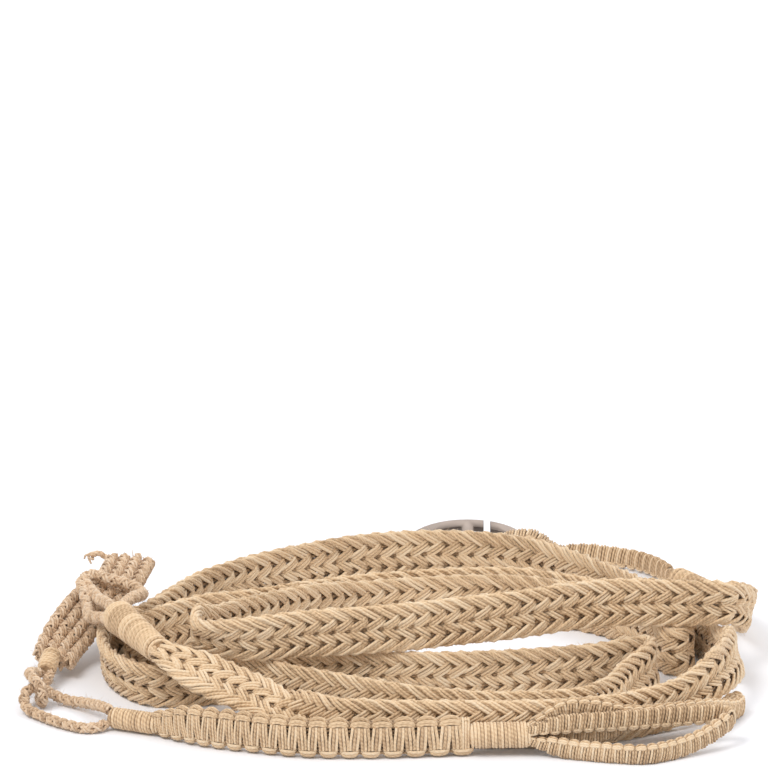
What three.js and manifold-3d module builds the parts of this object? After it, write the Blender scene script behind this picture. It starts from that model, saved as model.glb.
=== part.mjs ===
// A woven rope belt that lies loosely coiled on a surface.
// X runs along the coil, Y away from the front, Z up. All lengths are in millimetres.
// Route tables hold shares: x of COIL_LENGTH, y of COIL_DEPTH, and heights of LEVEL,
// the height at which a piece lies on the upper edge of a braid that stands on the surface.
import * as THREE from "three";
import { mergeVertices } from "three/addons/utils/BufferGeometryUtils.js";
import Module from "manifold-3d";

const COIL_LENGTH = 200; // from the inner coil's left turn to its right turn
const COIL_DEPTH = 200; // from the front bar to the back of the coil's middle turns
const CLEARANCE = 0.3; // between two pieces that touch

const BRAID_WIDTH = 20;
const BRAID_THICKNESS = 4.5;
const BRAID_STEP = 8; // length of one facet along the braid
const NECK_LENGTH = 26; // the braid narrows over this length into a whipping

const BAR_HEIGHT = 17;
const BAR_THICKNESS = 6;
const BAR_KNOTS = 17;
const BAR_SCALLOP = 0.9; // depth of the notch between two knots
const BAR_TAPER = 6; // the left end grows to full height over one part in six

const CORD_DIAMETER = 4;
const COLLAR_DIAMETER = 5.2;
const SENNIT_WIDTH = 8.5; // narrow knotted loops and strip
const SENNIT_THICKNESS = 3.6;
const SENNIT_STEP = 4; // length of one facet along a strip

const STRAP_WIDTH = 20;
const STRAP_THICKNESS = 7.5;
const STRAP_COLUMNS = 4;
const STUB_DIAMETER = 2.6;

const BAR_WRAP_LEFT_RADIUS = 4.4;
const BAR_WRAP_RIGHT_RADIUS = 5.3;
const TAIL_WRAP_RADIUS = 4;
const BACK_WRAP_RADIUS = 5;
const DIAGONAL_WRAP_RADIUS = 5.3;
const DIAGONAL_WRAP_TIP_RADIUS = 7;

const RING_LENGTH = 50;
const RING_DEPTH = 34;
const RING_RIM = 5;
const RING_PLATE = 2.5;
const RING_GAP = 2.6; // the mouth in the far side
const RING_MOUTH = 7.9; // from the bar's middle to the mouth's
const RING_TILT = 19; // degrees

const LEVEL = BRAID_WIDTH + CLEARANCE;

// Shared ends: the places where a whipping meets its neighbours.
const BAR_LEFT = [-0.46, 0.135, 0.02];
const BAR_RIGHT = [0.155, 0.01, 0.15];
const LOOPS_START = [0.28, 0.015, 0.15];
const CORD_START = [-0.555, 0.18, 0.02];
const BACK_NECK = [0.672, 0.93, 0.01];
const STRIP_END = [0.577, 1.07, 0.01];
const DIAGONAL_NECK = [-0.457, 0.26, 1.07];
const DIAGONAL_TIP = [-0.545, 0.45, 1.13];
const TAIL_FRONT = [-0.672, 0.492, 0.36];
const TAIL_EYE = [-0.685, 0.435, 0.15];

// The flat braid, stretch by stretch: the lower edge's x, y and height, then how far
// the upper edge leans along x and y, in shares of the braid's width.
const BRAID = {
  braid_right_riser: [
    [BACK_NECK[0], BACK_NECK[1], -0.23, 0, 0],
    [0.692, 0.84, -0.038, 0.05, -0.05],
    [0.704, 0.735, 0.2, 0.15, -0.15],
    [0.705, 0.61, 0.7, 0.2, -0.3],
    [0.675, 0.532, 1.04, 0.1, -0.3],
  ],
  braid_raised_front: [
    [0.62, 0.525, 1.02, 0, -0.15],
    [0.425, 0.52, 1, 0, 0],
    [0.225, 0.435, 1, 0, 0],
    [0.135, 0.405, 1, 0, 0],
    [0.025, 0.365, 1, 0, 0],
    [-0.175, 0.325, 1, 0, -0.08],
    [-0.275, 0.305, 1.01, 0, -0.25],
  ],
  braid_left_turn: [
    [-0.34, 0.33, 1.03, 0, -0.48],
    [-0.383, 0.38, 1.03, 0, -0.62],
    [-0.382, 0.43, 1.02, 0, -0.5],
    [-0.35, 0.485, 0.66, 0, -0.25],
    [-0.295, 0.555, 0.5, 0, 0],
  ],
  braid_inner_back: [
    [-0.165, 0.72, 0.25, 0, 0],
    [-0.035, 0.825, 0, 0, 0],
    [0.135, 0.86, 0, 0, 0],
    [0.265, 0.86, 0, 0, 0],
    [0.425, 0.775, 0, 0, 0],
    [0.485, 0.69, 0, 0, 0],
  ],
  braid_inner_turn: [
    [0.53, 0.6, 0, 0, 0],
    [0.545, 0.54, 0, 0, 0],
    [0.573, 0.515, 0, 0, 0],
    [0.598, 0.545, 0, 0, 0],
    [0.585, 0.62, 0, 0, 0],
    [0.53, 0.725, 0, 0, 0],
  ],
  braid_second_back: [
    [0.425, 0.83, 0, 0, 0],
    [0.265, 0.91, 0, 0, 0],
    [0.135, 0.91, 0, 0, 0],
    [-0.035, 0.875, 0, 0, 0],
    [-0.165, 0.825, 0, 0, 0],
    [-0.295, 0.765, 0, 0, 0],
    [-0.375, 0.735, 0, 0, 0],
  ],
  braid_hidden_turn: [
    [-0.475, 0.645, 0, 0, 0],
    [-0.52, 0.56, 0, 0, 0],
    [-0.5, 0.475, 0, 0, 0],
    [-0.425, 0.415, 0, 0, 0],
    [-0.3, 0.385, 0, 0, 0],
  ],
  braid_fourth_front: [
    [-0.175, 0.375, 0, 0, 0],
    [0.125, 0.365, 0, 0, 0],
    [0.345, 0.4, 0, 0, 0],
    [0.425, 0.425, 0, 0, 0],
  ],
  braid_tight_turn: [
    [0.49, 0.465, 0, 0, 0],
    [0.52, 0.47, 0, 0, 0],
    [0.53, 0.42, 0.015, -0.2, 0],
    [0.51, 0.325, 0.035, -0.5, 0.1],
    [0.472, 0.21, 0.035, -0.5, 0.2],
    [0.4, 0.14, 0.01, -0.1, 0.1],
  ],
  braid_left_front: [
    [0.3, 0.12, 0, 0, 0],
    [0.2, 0.115, 0, 0, 0],
    [0, 0.175, 0, 0, 0],
    [-0.15, 0.26, 0, 0, 0],
    [-0.305, 0.34, 0, 0, 0],
    [-0.375, 0.325, 0.01, 0, -0.15],
    [-0.475, 0.322, 0.02, -0.05, -0.3],
  ],
  braid_outer_left_turn: [
    [-0.543, 0.42, 0.02, -0.15, -0.25],
    [-0.563, 0.53, 0.01, -0.12, 0],
    [-0.553, 0.6, 0.005, -0.05, 0],
    [-0.495, 0.67, 0, 0, 0],
    [-0.44, 0.775, 0, 0, 0],
  ],
  braid_outer_back: [
    [-0.375, 0.89, 0, 0, 0],
    [-0.24, 1.02, 0, 0, 0],
    [-0.035, 1.135, 0, 0, 0],
    [0.135, 1.155, 0, 0, 0],
    [0.285, 1.105, 0, 0, 0],
    [0.385, 1.005, 0, 0, 0],
    [0.52, 0.825, 0, 0, 0],
  ],
  braid_outer_right_turn: [
    [0.575, 0.735, 0, 0, 0],
    [0.62, 0.64, 0, 0, 0],
    [0.65, 0.55, 0, 0, 0],
    [0.68, 0.49, 0.04, 0, 0],
    [0.694, 0.43, 0.35, -0.2, 0],
    [0.699, 0.36, 0.46, -0.35, 0],
    [0.668, 0.2625, 0.48, -0.25, -0.1],
    [0.59, 0.1875, 0.1, -0.1, 0],
    [0.52, 0.146, 0, 0, 0],
  ],
  braid_front_run: [
    [0.47, 0.112, 0, 0, 0],
    [0.4, 0.08, 0, 0, 0],
    [0.3, 0.0625, 0, 0, 0],
    [0.15, 0.0575, 0, 0, 0],
    [0, 0.06, 0, 0, 0],
    [-0.09, 0.07, 0, 0, 0],
  ],
  braid_diagonal: [
    [-0.175, 0.075, 0.1, 0.3, 0.3],
    [-0.256, 0.0775, 0.42, 0.62, 0.65],
    [-0.296, 0.1175, 0.55, 0.62, 0.65],
    [-0.356, 0.1575, 0.69, 0.62, 0.65],
    [-0.416, 0.1925, 0.87, 0.62, 0.65],
    [DIAGONAL_NECK[0] - 0.031, DIAGONAL_NECK[1] - 0.0325, 1.11, 0.62, 0.65],
  ],
};

// Rows below hold x, y and the underside's height. Where a fourth and fifth value
// follow, they say how far the strip's upper edge leans along x and y.
const BAR_ROUTE = [
  [BAR_LEFT[0], BAR_LEFT[1], 0],
  [-0.375, 0.07, 0],
  [-0.275, 0.03, 0],
  [-0.175, 0, 0],
  [-0.05, -0.008, 0],
  [BAR_RIGHT[0], BAR_RIGHT[1], 0],
];
const OUTER_LOOP_ROUTE = [
  [LOOPS_START[0], 0.004, 0.32, 0, 0],
  [0.34, 0.017, 0.4, 0, 0],
  [0.405, 0.027, 0.42, 0, 0],
  [0.48, 0.0415, 0.42, 0, 0],
  [0.5525, 0.064, 0.41, 0, 0],
  [0.625, 0.08, 0.4, 0, 0],
  [0.66, 0.0865, 0.38, 0, 0],
  [0.673, 0.0715, 0.36, 0, 0],
  [0.656, 0.0475, 0.28, 0, 0],
  [0.618, 0.0225, 0.11, 0, 0],
  [0.565, -0.0125, 0.005, 0, 0],
  [0.505, -0.045, 0, 0, 0],
  [0.43, -0.035, 0, 0, 0],
  [0.36, -0.015, 0, 0, 0],
  [0.3, 0.003, 0.06, 0, 0],
  [LOOPS_START[0], 0.004, 0.105, 0, 0],
];
const INNER_LOOP_ROUTE = [
  [LOOPS_START[0], 0.026, 0.32, 0, 0],
  [0.315, 0.037, 0.5, 0, 0],
  [0.35, 0.045, 0.64, 0, 0],
  [0.385, 0.0485, 0.65, 0, 0],
  [0.425, 0.053, 0.58, 0, 0],
  [0.48, 0.0635, 0.44, 0, 0],
  [0.55, 0.087, 0.42, 0, 0],
  [0.625, 0.13, 0.36, 0, 0],
  [0.656, 0.175, 0.21, 0, 0],
  [0.682, 0.225, 0.04, 0, 0],
  [0.696, 0.265, 0, 0, 0],
  [0.688, 0.29, 0, 0, 0],
  [0.674, 0.27, 0, 0, 0],
  [0.66, 0.222, 0.01, 0, 0],
  [0.637, 0.1875, 0.08, 0, 0],
  [0.62, 0.155, 0.23, 0, 0],
  [0.55, 0.111, 0.33, 0, 0],
  [0.48, 0.085, 0.27, 0, 0],
  [0.405, 0.053, 0.11, 0, 0],
  [0.34, 0.0375, 0.1, 0, 0],
  [LOOPS_START[0], 0.026, 0.105, 0, 0],
];
const CORD_LOOP_ROUTE = [
  [-0.5525, 0.1865, 0.24],
  [-0.573, 0.225, 0.2],
  [-0.59, 0.258, 0.13],
  [-0.61, 0.288, 0.07],
  [-0.637, 0.315, 0.02],
  [-0.665, 0.333, 0.07],
  [-0.695, 0.335, 0.22],
  [-0.717, 0.315, 0.25],
  [-0.726, 0.287, 0.13],
  [-0.718, 0.262, 0.02],
  [-0.7, 0.237, 0],
  [-0.67, 0.2, 0],
  [-0.64, 0.171, 0],
  [-0.605, 0.148, 0],
  [-0.58, 0.15, 0.01],
  [-0.56, 0.17, 0.03],
];
const SMALL_LOOP_ROUTE = [
  [TAIL_EYE[0] - 0.012, 0.433, 0.2],
  [-0.712, 0.39, 0.36],
  [-0.715, 0.345, 0.47],
  [-0.706, 0.31, 0.48],
  [-0.693, 0.29, 0.38],
  [-0.688, 0.288, 0.18],
  [-0.69, 0.305, 0.02],
  [-0.695, 0.34, 0],
  [-0.69, 0.39, 0.04],
  [TAIL_EYE[0] + 0.01, 0.433, 0.2],
];
const COLLAR_ROUTE = [
  [-0.534, 0.457, 1.49],
  [-0.515, 0.52, 1.46],
  [-0.498, 0.6, 1.27],
  [-0.497, 0.655, 1.15],
  [-0.518, 0.673, 1.24],
  [-0.561, 0.685, 1.33],
  [-0.592, 0.69, 1.4],
  [-0.61, 0.678, 1.37],
  [-0.616, 0.654, 1.28],
  [-0.609, 0.63, 1.19],
  [-0.602, 0.604, 1.02],
  [-0.6, 0.565, 0.96],
  [-0.588, 0.52, 1.06],
  [-0.57, 0.482, 1.17],
  [-0.556, 0.448, 1.24],
];
// The strap's centre line, then its direction from the left edge to the right one.
const STRAP_ROUTE = [
  [-0.67, 0.508, 0.34, 0.81, -0.57, -0.07],
  [-0.657, 0.56, 0.47, 0.81, -0.52, -0.25],
  [-0.629, 0.6075, 0.74, 0.8, -0.3, -0.52],
  [-0.592, 0.668, 1.02, 0.88, -0.3, -0.36],
  [-0.5425, 0.74, 1.23, 0.85, -0.49, -0.175],
  [-0.531, 0.8, 1.25, 0.95, -0.25, -0.08],
  [-0.52, 0.868, 1.235, 0.98, -0.18, -0.05],
];
const STUB_ROUTE = [
  [-0.573, 0.874, 1.27],
  [-0.585, 0.868, 1.35],
  [-0.597, 0.858, 1.34],
  [-0.606, 0.85, 1.27],
];
const STRIP_ROUTE = [
  [STRIP_END[0], STRIP_END[1], 0.05, 0, 0],
  [0.552, 1.13, 0.02, 0, 0],
  [0.505, 1.19, 0.02, 0, 0],
  [0.43, 1.23, 0.005, 0, 0.1],
  [0.38, 1.24, 0.005, 0, 0.6],
  [0.34, 1.247, 0.07, 0, 0.94],
  [0.295, 1.25, 0.375, 0, 0.94],
  [0.258, 1.25, 0.397, 0, 0.94],
  [0.218, 1.25, 0.2, 0, 0.94],
  [0.246, 1.25, 0.004, 0, 0.94],
  [0.275, 1.25, 0.003, 0, 0.94],
  [0.292, 1.25, 0.003, 0, 0.94],
];
const RING_CENTRE = [0.158, 1.2515, 0.285];

// Section outlines: pairs of across and through, each from -0.5 to 0.5.
const BAND_SECTION = [
  [-0.5, -0.25],
  [-0.4, -0.5],
  [0.4, -0.5],
  [0.5, -0.25],
  [0.5, 0.25],
  [0.4, 0.5],
  [-0.4, 0.5],
  [-0.5, 0.25],
];

function roundSection(sides) {
  const outline = [];
  for (let i = 0; i < sides; i += 1) {
    const angle = ((i + 0.5) / sides) * 2 * Math.PI;
    outline.push([0.5 * Math.cos(angle), 0.5 * Math.sin(angle)]);
  }
  return outline;
}

// A strap's section has one round rib for each chain of stitches, above and below.
function ribbedSection(ribs) {
  const outline = [];
  const perRib = 4;
  for (const side of [-1, 1]) {
    for (let i = 0; i < ribs * perRib; i += 1) {
      const share = (i + 0.5) / (ribs * perRib);
      const across = side < 0 ? share - 0.5 : 0.5 - share;
      const rib = Math.abs(Math.sin(Math.PI * ribs * share));
      outline.push([across, side * (0.32 + 0.18 * rib)]);
    }
  }
  return outline;
}

function place(row, lift = 0) {
  return new THREE.Vector3(row[0] * COIL_LENGTH, row[1] * COIL_DEPTH, row[2] * LEVEL + lift);
}

function between(value, a, b) {
  return Math.min(Math.max(a, b), Math.max(Math.min(a, b), value));
}

// Follows a curve through the rows and returns points, their directions and the lean
// at each. A point's height and lean stay between those of the two rows beside it.
function follow(rows, step, lift, fromRow = 0, toRow = rows.length - 1) {
  const places = rows.map((row) => place(row, lift));
  const curve = new THREE.CatmullRomCurve3(places);
  const rowLeans = rows.map((row) => new THREE.Vector3(row[3] ?? 0, row[4] ?? 0, row[5] ?? 0));
  const leanCurve = new THREE.CatmullRomCurve3(rowLeans);
  const last = rows.length - 1;
  const points = [];
  const directions = [];
  const leans = [];
  for (let i = fromRow; i < toRow; i += 1) {
    const count = Math.max(1, Math.round(places[i].distanceTo(places[i + 1]) / step));
    const stop = i === toRow - 1 ? count : count - 1;
    for (let k = 0; k <= stop; k += 1) {
      const t = (i + k / count) / last;
      const point = curve.getPoint(t);
      point.z = between(point.z, places[i].z, places[i + 1].z);
      const lean = leanCurve.getPoint(t);
      lean.x = between(lean.x, rowLeans[i].x, rowLeans[i + 1].x);
      lean.y = between(lean.y, rowLeans[i].y, rowLeans[i + 1].y);
      points.push(point);
      directions.push(curve.getTangent(t));
      leans.push(lean);
    }
  }
  return { points, directions, leans };
}

function upright(lean) {
  const flat = Math.min(1, Math.hypot(lean.x, lean.y));
  return new THREE.Vector3(lean.x, lean.y, Math.sqrt(1 - flat * flat)).normalize();
}

// The direction from one row's place to another's.
function heading(fromRow, toRow) {
  return place(toRow).sub(place(fromRow)).normalize();
}

// Each end is drawn back by half the clearance, so that two pieces that share an end
// lie CLEARANCE apart.
function drawBackEnds(points, directions) {
  const half = CLEARANCE / 2;
  const last = points.length - 1;
  points[0].addScaledVector(directions[0], half);
  points[last].addScaledVector(directions[last], -half);
}

function pathLengths(points) {
  const lengths = [0];
  for (let i = 1; i < points.length; i += 1) {
    lengths.push(lengths[i - 1] + points[i].distanceTo(points[i - 1]));
  }
  return lengths;
}

function squareTo(along, across) {
  return across.clone().addScaledVector(along, -across.dot(along)).normalize();
}

// Sweeps a section along points. acrossAt gives the width direction of each point and
// sizeAt the width and thickness there, by the distance from the start and the end.
// Where ends holds a direction, that end face is cut square to it.
function sweep(points, directions, section, acrossAt, sizeAt, ends = {}) {
  const sides = section.length;
  const last = points.length - 1;
  directions[0] = ends.start ?? directions[0];
  directions[last] = ends.finish ?? directions[last];
  drawBackEnds(points, directions);
  const lengths = pathLengths(points);
  const vertices = [];
  for (let i = 0; i <= last; i += 1) {
    const along = directions[i];
    const isCut = (i === 0 && ends.start) || (i === last && ends.finish);
    const across = isCut ? squareTo(along, acrossAt(i, along)) : acrossAt(i, along);
    const through = along.clone().cross(across).normalize();
    const [width, thickness] = sizeAt(lengths[i], lengths[last] - lengths[i], i);
    for (const [u, v] of section) {
      const corner = points[i].clone();
      corner.addScaledVector(across, u * width);
      corner.addScaledVector(through, v * thickness);
      vertices.push(corner.x, corner.y, corner.z);
    }
  }
  const faces = [];
  for (let i = 0; i < last; i += 1) {
    for (let k = 0; k < sides; k += 1) {
      const next = (k + 1) % sides;
      const a = i * sides + k;
      const b = i * sides + next;
      faces.push(a, b, b + sides, a, b + sides, a + sides);
    }
  }
  const flat = section.map(([u, v]) => new THREE.Vector2(u, v));
  const top = last * sides;
  for (const [a, b, c] of THREE.ShapeUtils.triangulateShape(flat, [])) {
    faces.push(a, c, b);
    faces.push(top + a, top + b, top + c);
  }
  const geometry = new THREE.BufferGeometry();
  geometry.setAttribute("position", new THREE.Float32BufferAttribute(vertices, 3));
  geometry.setIndex(faces);
  return geometry;
}

// A direction across a round cord that never meets the cord's own direction.
function acrossRound(i, along) {
  const side = new THREE.Vector3(0, 0, 1).cross(along);
  if (side.lengthSq() < 0.01) {
    side.set(1, 0, 0);
  }
  return side.normalize();
}

function smooth(share) {
  const s = Math.min(1, Math.max(0, share));
  return s * s * (3 - 2 * s);
}

// The whole braid is one curve. Each stretch is cut from it and meets the next one.
function braidStretches() {
  const rows = Object.values(BRAID).flat();
  const stretches = {};
  let from = 0;
  for (const [name, stretch] of Object.entries(BRAID)) {
    const to = Math.min(rows.length - 1, from + stretch.length);
    stretches[name] = braidStretch(rows, from, to);
    from = to;
  }
  return stretches;
}

function braidStretch(rows, from, to) {
  const { points, directions, leans } = follow(rows, BRAID_STEP, 0, from, to);
  const ups = leans.map(upright);
  points.forEach((point, i) => point.addScaledVector(ups[i], BRAID_WIDTH / 2));
  const ends = {};
  if (from === 0) {
    ends.start = heading(STRIP_END, BACK_NECK);
  }
  if (to === rows.length - 1) {
    ends.finish = heading(DIAGONAL_NECK, DIAGONAL_TIP);
  }
  const neckWidth = 2 * DIAGONAL_WRAP_RADIUS - 1;
  const sizeAt = (fromStart, fromEnd) => {
    const toStart = ends.start ? fromStart : NECK_LENGTH;
    const toFinish = ends.finish ? fromEnd : NECK_LENGTH;
    const away = Math.min(toStart, toFinish) / NECK_LENGTH;
    const width = neckWidth + (BRAID_WIDTH - neckWidth) * smooth(away);
    const thickness = neckWidth + (BRAID_THICKNESS - neckWidth) * smooth(1.6 * away);
    return [width, thickness];
  };
  return sweep(points, directions, BAND_SECTION, (i) => ups[i], sizeAt, ends);
}

// The bar of square knots stands on its edge; its scallops leave each knot flat below.
function knottedBar() {
  const curve = new THREE.CatmullRomCurve3(BAR_ROUTE.map((row) => place(row)));
  const knotShares = [0, 0.12, 0.88];
  const shares = [];
  const notched = [];
  for (let knot = 0; knot < BAR_KNOTS; knot += 1) {
    for (const share of knotShares) {
      shares.push(barShare((knot + share) / BAR_KNOTS));
      notched.push(share === 0);
    }
  }
  shares.push(1);
  notched.push(true);
  const endHeight = 2 * BAR_WRAP_LEFT_RADIUS + 2;
  const sizes = shares.map((share, i) => {
    const notch = notched[i] ? BAR_SCALLOP : 0;
    const height = endHeight + (BAR_HEIGHT - endHeight) * smooth(share * BAR_TAPER);
    return [height - 2 * notch, BAR_THICKNESS - notch];
  });
  const points = shares.map((share, i) => {
    const point = curve.getPointAt(share);
    point.z = sizes[i][0] / 2 + (notched[i] ? BAR_SCALLOP : 0);
    return point;
  });
  const directions = shares.map((share) => curve.getTangentAt(share));
  const up = new THREE.Vector3(0, 0, 1);
  const ends = { start: heading(CORD_START, BAR_LEFT), finish: heading(BAR_RIGHT, LOOPS_START) };
  return sweep(points, directions, BAND_SECTION, () => up, (a, b, i) => sizes[i], ends);
}

// The knots grow longer from the bar's left end to its right end.
function barShare(share) {
  return share * (0.75 + 0.25 * share);
}

// A narrow knotted strip. Where its last end is drawn together too, neckAtEnd is true.
function sennit(route, ends, neckAtEnd = true) {
  const { points, directions, leans } = follow(route, SENNIT_STEP, 0);
  const ups = leans.map(upright);
  points.forEach((point, i) => {
    const flat = Math.hypot(ups[i].x, ups[i].y);
    point.z += (ups[i].z * SENNIT_WIDTH + flat * SENNIT_THICKNESS) / 2;
  });
  const neck = SENNIT_WIDTH * 0.45;
  const open = SENNIT_WIDTH * 1.5;
  const sizeAt = (fromStart, fromEnd) => {
    const away = Math.min(fromStart, neckAtEnd ? fromEnd : open);
    return [neck + (SENNIT_WIDTH - neck) * smooth(away / open), SENNIT_THICKNESS];
  };
  return sweep(points, directions, BAND_SECTION, (i) => ups[i], sizeAt, ends);
}

function cord(route, diameter, ends = {}, sides = 8) {
  const { points, directions } = follow(route, diameter * 1.1, diameter / 2);
  return sweep(points, directions, roundSection(sides), acrossRound, () => [diameter, diameter], ends);
}

// A whipping of thread: a rod with slightly rounded ends, as thick as its radii say.
function whipping(startRow, endRow, startRadius, endRadius) {
  const start = place(startRow, startRadius);
  const end = place(endRow, endRadius);
  const along = end.clone().sub(start).normalize();
  const stations = [0, 0.06, 0.35, 0.65, 0.94, 1];
  const points = stations.map((share) => start.clone().lerp(end, share));
  const directions = stations.map(() => along);
  const sizeAt = (fromStart, fromEnd, i) => {
    const radius = startRadius + (endRadius - startRadius) * stations[i];
    const isEnd = i === 0 || i === stations.length - 1;
    const diameter = 2 * radius * (isEnd ? 0.88 : 1);
    return [diameter, diameter];
  };
  return sweep(points, directions, roundSection(12), acrossRound, sizeAt);
}

function tailStrap() {
  const { points, directions, leans } = follow(STRAP_ROUTE, STRAP_THICKNESS, 0);
  const across = leans.map((lean) => lean.clone().normalize());
  const sizeAt = (fromStart) => {
    const knot = 1 - smooth(fromStart / STRAP_WIDTH);
    return [STRAP_WIDTH * (1 - 0.12 * knot), STRAP_THICKNESS * (1 + 0.2 * knot)];
  };
  return sweep(points, directions, ribbedSection(STRAP_COLUMNS), (i) => across[i], sizeAt);
}

const wasm = await Module();
wasm.setup();

function toSolid(geometry) {
  const bare = geometry.clone();
  bare.deleteAttribute("normal");
  bare.deleteAttribute("uv");
  const merged = mergeVertices(bare);
  const mesh = new wasm.Mesh({
    numProp: 3,
    vertProperties: Float32Array.from(merged.attributes.position.array),
    triVerts: Uint32Array.from(merged.index.array),
  });
  return new wasm.Manifold(mesh);
}

function toGeometry(solid) {
  const mesh = solid.getMesh();
  const geometry = new THREE.BufferGeometry();
  geometry.setAttribute("position", new THREE.Float32BufferAttribute(mesh.vertProperties, 3));
  geometry.setIndex(Array.from(mesh.triVerts));
  return geometry;
}

// An open oval ring with a plain bar across it, cut by a mouth in its far side.
function hookRing() {
  const outline = new THREE.Shape();
  outline.absellipse(0, 0, RING_LENGTH / 2, RING_DEPTH / 2, 0, 2 * Math.PI);
  const hole = new THREE.Path();
  hole.absellipse(0, 0, RING_LENGTH / 2 - RING_RIM, RING_DEPTH / 2 - RING_RIM, 0, 2 * Math.PI);
  outline.holes.push(hole);
  const ring = new THREE.ExtrudeGeometry(outline, {
    depth: RING_PLATE,
    bevelEnabled: false,
    curveSegments: 20,
  });
  const bar = new THREE.BoxGeometry(RING_RIM, RING_DEPTH - RING_RIM, RING_PLATE);
  bar.translate(0, 0, RING_PLATE / 2);
  const mouth = new THREE.BoxGeometry(RING_GAP, 2 * RING_RIM, 3 * RING_PLATE);
  mouth.translate(RING_MOUTH, RING_DEPTH / 2 - RING_RIM / 2, RING_PLATE / 2);
  const solid = toSolid(ring).add(toSolid(bar)).subtract(toSolid(mouth));
  return toGeometry(solid);
}

const JUTE = { color: 0xc8a578, roughness: 0.9, metalness: 0 };
const WRAP_THREAD = { color: 0xcdab7e, roughness: 0.85, metalness: 0 };
const PEWTER = { color: 0x8a7a72, roughness: 0.35, metalness: 0.9 };

const belt = new THREE.Group();

function addPiece(name, geometry, finish) {
  const mesh = new THREE.Mesh(geometry, new THREE.MeshStandardMaterial(finish));
  mesh.name = name;
  belt.add(mesh);
  return mesh;
}

for (const [name, geometry] of Object.entries(braidStretches())) {
  addPiece(name, geometry, JUTE);
}
addPiece("front_knotted_bar", knottedBar(), JUTE);

const loopsOut = heading(BAR_RIGHT, LOOPS_START);
const loopEnds = { start: loopsOut, finish: loopsOut.clone().negate() };
addPiece("knotted_loop_outer", sennit(OUTER_LOOP_ROUTE, loopEnds), JUTE);
addPiece("knotted_loop_inner", sennit(INNER_LOOP_ROUTE, loopEnds), JUTE);

const stripEnds = { start: heading(BACK_NECK, STRIP_END) };
addPiece("back_knotted_strip", sennit(STRIP_ROUTE, stripEnds, false), JUTE);

const cordOut = heading(BAR_LEFT, CORD_START);
const cordEnds = { start: cordOut, finish: cordOut.clone().negate() };
addPiece("front_cord_loop", cord(CORD_LOOP_ROUTE, CORD_DIAMETER, cordEnds), JUTE);

const eyeOut = heading(TAIL_FRONT, TAIL_EYE);
const eyeEnds = { start: eyeOut, finish: eyeOut.clone().negate() };
addPiece("small_cord_loop", cord(SMALL_LOOP_ROUTE, CORD_DIAMETER, eyeEnds), JUTE);

const collarOut = heading(DIAGONAL_NECK, DIAGONAL_TIP);
const collarEnds = { start: collarOut, finish: collarOut.clone().negate() };
addPiece("collar_loop", cord(COLLAR_ROUTE, COLLAR_DIAMETER, collarEnds), JUTE);

addPiece("tail_strap", tailStrap(), JUTE);
addPiece("tail_thread_stub", cord(STUB_ROUTE, STUB_DIAMETER, {}, 6), JUTE);

const WHIPPINGS = {
  wrap_bar_left: [CORD_START, BAR_LEFT, BAR_WRAP_LEFT_RADIUS, BAR_WRAP_LEFT_RADIUS],
  wrap_bar_right: [BAR_RIGHT, LOOPS_START, BAR_WRAP_RIGHT_RADIUS, BAR_WRAP_RIGHT_RADIUS],
  wrap_tail: [TAIL_FRONT, TAIL_EYE, TAIL_WRAP_RADIUS, TAIL_WRAP_RADIUS],
  wrap_back: [STRIP_END, BACK_NECK, BACK_WRAP_RADIUS, BACK_WRAP_RADIUS],
  wrap_diagonal: [DIAGONAL_NECK, DIAGONAL_TIP, DIAGONAL_WRAP_RADIUS, DIAGONAL_WRAP_TIP_RADIUS],
};
for (const [name, ends] of Object.entries(WHIPPINGS)) {
  addPiece(name, whipping(...ends), WRAP_THREAD);
}

const ring = addPiece("hook_ring", hookRing(), PEWTER);
ring.position.copy(place(RING_CENTRE));
ring.rotation.x = THREE.MathUtils.degToRad(RING_TILT);

// The part's origin is the middle of its underside.
const box = new THREE.Box3().setFromObject(belt, true);
const middle = box.getCenter(new THREE.Vector3());
belt.position.set(-middle.x, -middle.y, -box.min.z);
belt.updateMatrixWorld(true);

export default belt;
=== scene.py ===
"""A woven rope belt that lies loosely coiled: its yarns, knots, whippings and metal ring."""

import math

import bmesh
import bpy
import numpy as np
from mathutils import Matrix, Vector


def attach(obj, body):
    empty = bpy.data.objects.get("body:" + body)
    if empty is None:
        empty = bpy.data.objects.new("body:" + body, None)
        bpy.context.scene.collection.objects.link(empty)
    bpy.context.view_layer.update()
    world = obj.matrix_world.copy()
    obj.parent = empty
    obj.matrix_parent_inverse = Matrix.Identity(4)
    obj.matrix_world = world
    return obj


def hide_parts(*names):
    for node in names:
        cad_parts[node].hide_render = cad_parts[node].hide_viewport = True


bl_info = {
    "name": "Rope belt",
    "version": (1, 0, 0),
    "blender": (4, 5, 0),
    "location": "3D View > Sidebar > Rope belt",
    "description": "Builds the yarns, knots, whippings and ring of a coiled rope belt",
    "category": "Add Mesh",
}

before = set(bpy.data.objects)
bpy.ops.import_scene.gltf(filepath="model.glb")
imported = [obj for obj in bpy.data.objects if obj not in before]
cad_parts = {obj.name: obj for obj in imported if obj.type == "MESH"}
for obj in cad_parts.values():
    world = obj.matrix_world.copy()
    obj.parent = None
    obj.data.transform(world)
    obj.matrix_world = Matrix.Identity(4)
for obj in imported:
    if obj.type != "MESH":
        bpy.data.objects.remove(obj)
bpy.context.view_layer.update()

# Driving dimensions of the coil, in metres. Rows below hold shares of these.
COIL_LENGTH = 0.2
COIL_DEPTH = 0.2
LEVEL = 0.0203  # height of a braid that stands on its edge
ORIGIN = (-0.000184, -0.127695, 0.0)  # from the routes' own zero to the middle of the underside

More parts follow.
